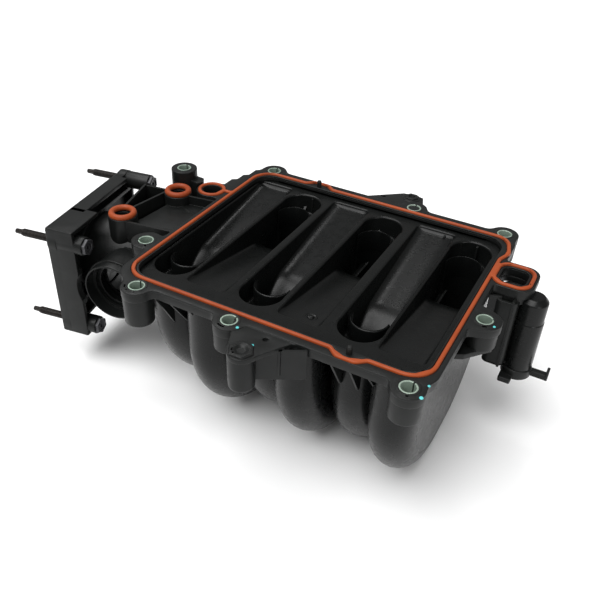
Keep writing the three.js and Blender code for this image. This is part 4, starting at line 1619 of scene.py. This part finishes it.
@dataclass
class CoolantWing:
    """The shelf behind the throttle flange, with two coolant pipes and the tall boss."""

    pipe: float = 14.6
    hole: float = 7.6
    pipes: tuple[tuple[float, float], ...] = ((-211.1, -37.4), (-193.2, 31.0))
    tall: tuple[float, float] = (-204.6, 59)
    tall_hole: float = 7.6

    def build(self, flange: Flange) -> None:
        """Makes the wing."""
        box = (-246.0, -140.0, -64.0, 80.0)
        floor = polygon([
            (-226, -48), (-176, -56), (-148.5, -54), (-148.5, 36), (-168, 36), (-184, 50), (-193, 72),
            (-216, 72), (-224, 44), (-238, 30),
        ])
        tall_hole = disc(*self.tall, self.tall_hole)
        holes = disc(*self.pipes[0], self.hole).join(disc(*self.pipes[1], self.hole)).join(tall_hole)
        shell = Shell().add(plate(floor.less(holes), box, -33, -30, 0.5, 0.5))
        for x, y in self.pipes:
            profile = rounded([
                (self.hole, -36, 0.5), (self.pipe, -36, 1.2), (self.pipe, -2.4, 1.0),
                (self.pipe - 1.2, -2.4, 0.3), (self.pipe - 1.2, -3.8, 0.2), (self.hole, -3.8, 0.6),
            ])
            shell.add(turned(profile, (x, y), 56))
        shell.add(turned(tube(self.tall_hole, 13.9, -34, 12, 1.0), self.tall, 48))
        shell.add(turned(tube(7.5, 9.4, 10, 12.2, 0.25), self.tall, 44))
        walls = [
            ((-200, -46), (-149, -38), -3), ((-214, -26), (-206, 26), -3), ((-222, -24), (-236, 30), -4),
            ((-224, -44), (-212, -40), -4), ((-236, 30), (-206, 34), -5), ((-180, 31), (-149, 36), -3),
            ((-197, -34), (-149, -20), -12), ((-184, 22), (-149, 10), -12),
        ]
        for a, b, top in walls:
            shell.add(flange.web(a, b, 2.4, -32, top))
        deck = polygon([(-203, -34), (-198, 24), (-182, 31), (-149, 35), (-149, -38)])
        pipes = disc(*self.pipes[0], self.pipe - 1).join(disc(*self.pipes[1], self.pipe - 1))
        shell.add(plate(deck.less(pipes), box, -15, -12.5, 0.5, 0.4))
        ear = polygon([(-206, 56), (-206, 68), (-184, 66), (-180, 58), (-184, 52)]).less(tall_hole)
        shell.add(plate(ear, box, -33, 2, 0.8, 0.4))
        made_piece(shell.object("coolant wing", 32), NYLON, replaces=["coolant_wing"])


@dataclass
class BreatherValve:
    """The breather duct and the valve well, with the bayonet cap below."""

    x: float = 184.5
    y: float = 48.0
    outer: float = 13.4
    inner: float = 11.0
    top: float = -8.0
    foot: float = -86.0

    def build(self, flange: Flange) -> None:
        """Makes the duct, the well and the cap."""
        box = (136.0, 186.0, 20.0, 84.0)
        duct = Shell()
        upper = oblong(160.5, 57, 20, 21.5, 13)
        duct.add(plate(upper.less(oblong(161, 57, 12, 13.5, 8)), box, -16, -9.3, 0.3, 1.4))
        lower = oblong(163, 48, 10.5, 18, 6)
        duct.add(plate(lower.less(oblong(162.6, 48, 6.8, 15, 4)), box, -84, -12, 0.4, 1.4))
        duct.add(plate(lower, box, -84, -81, 0.4, 1.4))
        duct.add(flange.web((169.3, 44), (169.3, 29), 2.2, -84, -9.3))
        duct.add(flange.web((158, 34), (147, 31), 2.4, -44, -9.3))
        made_piece(duct.object("breather duct", 32), NYLON, replaces=["breather_duct"])
        well = rounded([
            (0, self.top, 0), (8.6, self.top, 2.2), (self.outer - 0.6, self.top - 4.4, 2.5),
            (self.outer - 0.6, -33, 0.4), (self.outer, -34, 0.4), (self.outer, self.foot, 0.5),
            (self.inner, self.foot, 0.5), (self.inner, -14, 2.0), (0, -13, 0),
        ], closed=False)
        made_piece(
            Shell().add(turned(well, (self.x, self.y), 64)).object("valve well", 32),
            GLOSSY_NYLON, replaces=["valve_well"],
        )
        self.build_cap()

    def build_cap(self) -> None:
        """Makes the cap with its grip arm, its hook and its tab."""
        x, y = self.x, self.y
        cap = Shell()
        profile = rod([
            (0, -98, 0), (9, -98, 0.3), (9.4, -97.4, 0.3), (12.2, -97.4, 0.5), (14.2, -95.6, 1.4),
            (14.2, -87.2, 0.8), (13.4, -86.3, 0.3), (10.6, -86.3, 0.2), (10.6, -83.6, 0.2),
            (8.6, -83.6, 0.2), (8.6, -80.4, 0.2), (10.6, -80.4, 0.2), (10.6, -78, 0.6), (8, -78, 0.4),
            (8, -94, 0.6), (0, -94, 0),
        ])
        cap.add(turned(profile, (x, y), 64))
        box = (x - 20, x + 34, y - 26, y + 12)
        arm = oblong(x + 20, y + 3.5, 10, 3.5, 1.5)
        cap.add(plate(arm, box, -96.5, -90.5, 1.0, 1.0, 0.9))
        cap.add(plate(oblong(x + 28.8, y + 3.5, 1.3, 3.5, 0.8), box, -96.5, -84.5, 0.6, 0.6, 0.7))
        tab = oblong(x - 6.1, y - 14.8, 6.0, 6.2, 1.6)
        cap.add(plate(tab, box, -98, -92.5, 0.9, 0.9, 0.9))
        obj = cap.object("valve cap", 32)
        made_piece(obj, NYLON, BodyName.CAP, ["valve_cap"])

    def build_springs(self, sweeps: SweepTree) -> None:
        """Makes the pintle's return spring and the well's spring.

        Args:
            sweeps: carries the wire's section along the coils.
        """
        axis = Matrix.Translation((self.x, self.y, 0))
        foot, seat, lift = -57.5, -30.3, 3.0
        coil = helix(4.4, foot, seat, (seat - foot) / 6, axis)
        spring = sweeps.run("return spring", [coil], 0.45, BRIGHT_STEEL, False, 8)
        made_piece(spring, BRIGHT_STEEL, replaces=["valve_spring"])
        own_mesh(spring)
        wide = helix(5.8, -93.4, -62.7, 30.7 / 4, axis)
        well_spring = sweeps.run("holding spring", [wide], 0.6, BRIGHT_STEEL, False, 8)
        made_piece(well_spring, BRIGHT_STEEL, replaces=["well_spring"])


@dataclass
class PaintDots:
    """Small touches of inspection paint on checked bosses."""

    spots: tuple[tuple[float, float, float, float], ...] = (
        (143.6, -137.5, 0.28, 1.7), (-12.5, -136.5, 0.28, 1.5), (9.8, -150.0, 1.0, 1.4),
        (144.2, -122.8, 0.28, 1.2), (166.0, -27.5, 0.28, 1.3),
    )

    def build(self) -> None:
        """Makes the dots as thin domes of paint."""
        shell = Shell()
        for x, y, z, r in self.spots:
            dome = rod([(0, z - 0.5, 0), (r, z - 0.5, 0.1), (r * 0.8, z + 0.12, 0.1), (0, z + 0.18, 0)])
            shell.add(turned(dome, (x, y), 18))
        made_piece(shell.object("paint dots"), CHECK_PAINT)


@dataclass
class Studio:
    """A plain pale floor, soft lights and the camera."""

    azimuth: float = 26.739
    elevation: float = 35.714
    roll: float = 2.746
    eye: tuple[float, float, float] = (231.4, -512.0, 350.0)
    lens: float = 42.573
    lights: list[tuple[str, tuple[float, float, float], float, float]] = field(
        default_factory=lambda: [
            ("key", (-0.75, 0.35, 1.35), 0.6, 6.0),
            ("fill", (1.25, -0.75, 0.75), 0.6, 5.0),
            ("back", (-0.15, 0.95, 1.75), 0.3, 2.5),
        ]
    )
    sun_energy: float = 3.0
    sun_spread: float = 48.0
    sun_turn: tuple[float, float, float] = (24.0, -10.0, 0.0)
    sky_strength: float = 0.3

    def build(self) -> None:
        """Sets the stage."""
        self.build_floor()
        self.build_lights()
        self.build_camera()

    def build_floor(self) -> None:
        """Makes the floor, a little below the part's lowest point."""
        low = CAD_BOX[0][2]
        mesh = bpy.data.meshes.new("floor")
        work = bmesh.new()
        bmesh.ops.create_grid(work, x_segments=8, y_segments=8, size=30.0)
        work.to_mesh(mesh)
        work.free()
        floor = bpy.data.objects.new("floor", mesh)
        floor.location.z = low - 0.0005
        bpy.context.scene.collection.objects.link(floor)
        chain = NodeChain("pale floor")
        tone = chain.ramp(chain.noise(2.0), [(0.3, (0.92, 0.92, 0.92)), (0.7, (0.94, 0.94, 0.94))])
        chain.link(tone, chain.shader.inputs["Base Color"])
        chain.shader.inputs["Roughness"].default_value = 0.8
        mesh.materials.append(chain.material)

    def build_lights(self) -> None:
        """Adds the large soft lamps and a light sky."""
        for name, place, size, power in self.lights:
            lamp = bpy.data.lights.new(name, "AREA")
            lamp.shape, lamp.size, lamp.energy = "DISK", size, power
            obj = bpy.data.objects.new(name, lamp)
            obj.location = place
            obj.rotation_euler = (Vector((0, 0, 0.08)) - Vector(place)).to_track_quat("-Z", "Y").to_euler()
            bpy.context.scene.collection.objects.link(obj)
        sun = bpy.data.lights.new("overhead", "SUN")
        sun.energy, sun.angle = self.sun_energy, math.radians(self.sun_spread)
        overhead = bpy.data.objects.new("overhead", sun)
        overhead.rotation_euler = tuple(math.radians(v) for v in self.sun_turn)
        bpy.context.scene.collection.objects.link(overhead)
        world = bpy.data.worlds.new("sky")
        world.use_nodes = True
        sky = world.node_tree.nodes["Background"]
        sky.inputs["Color"].default_value = (1.0, 1.0, 1.0, 1.0)
        sky.inputs["Strength"].default_value = self.sky_strength
        bpy.context.scene.world = world
        bpy.context.scene.view_settings.view_transform = "Standard"

    def build_camera(self) -> None:
        """Places the camera from its angles."""
        a, e, r = (math.radians(v) for v in (self.azimuth, self.elevation, self.roll))
        back = Vector((math.sin(a) * math.cos(e), -math.cos(a) * math.cos(e), math.sin(e)))
        level = Vector((math.cos(a), math.sin(a), 0))
        rise = level.cross(-back)
        right = level * math.cos(r) + rise * math.sin(r)
        up = rise * math.cos(r) - level * math.sin(r)
        data = bpy.data.cameras.new("camera")
        data.lens, data.sensor_width = self.lens, 36.0
        camera = bpy.data.objects.new("camera", data)
        place = Matrix((right, up, back)).transposed().to_4x4()
        place.translation = Vector(DATUM.metres([self.eye])[0])
        camera.matrix_world = place
        bpy.context.scene.collection.objects.link(camera)
        bpy.context.scene.camera = camera


def dress_hidden_nodes() -> None:
    """Gives the working parts inside the valve, which stay as packed, their finishes."""
    finishes = {
        "valve_body": MATT_NYLON, "valve_seal": SILICONE, "valve_cap_seal": SILICONE,
        "valve_pintle": BRIGHT_STEEL,
    }
    for name, finish in finishes.items():
        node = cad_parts[name]
        node.data.materials.clear()
        node.data.materials.append(finish.material())


RUNNER_XS = (-101.0, -59.0, -13.0, 29.0, 75.0, 117.0)
FRONT_HUMP = (21.8, -108.0, 126.5)
BACK_HUMP = (20.6, -126.5, 108.0)
DUCT_HUMP = (27.0, -108.0, 126.5)
DUCT_HUMP_SHIFT = 7.0


def main() -> None:
    """Builds every sub-assembly, then the studio."""
    logging.basicConfig(level=logging.INFO, format="%(name)s: %(message)s")
    sweeps = SweepTree("round section sweep")
    flange, throttle = Flange(), ThrottleFlange()
    PlenumFloor().build()
    for i, x in enumerate(RUNNER_XS):
        shape = BACK_HUMP if i % 2 else FRONT_HUMP
        if i == 0:
            x, shape = x - DUCT_HUMP_SHIFT, DUCT_HUMP
        Runner(i + 1, x, *shape).build()
    flange.build()
    Seals().build(sweeps)
    Limiters().build()
    Dowels().build()
    throttle.build(sweeps)
    IntakeDuct().build(throttle)
    CoolantWing().build(flange)
    valve = BreatherValve()
    valve.build(flange)
    valve.build_springs(sweeps)
    PaintDots().build()
    dress_hidden_nodes()
    Studio().build()


if __name__ == "__main__":
    main()
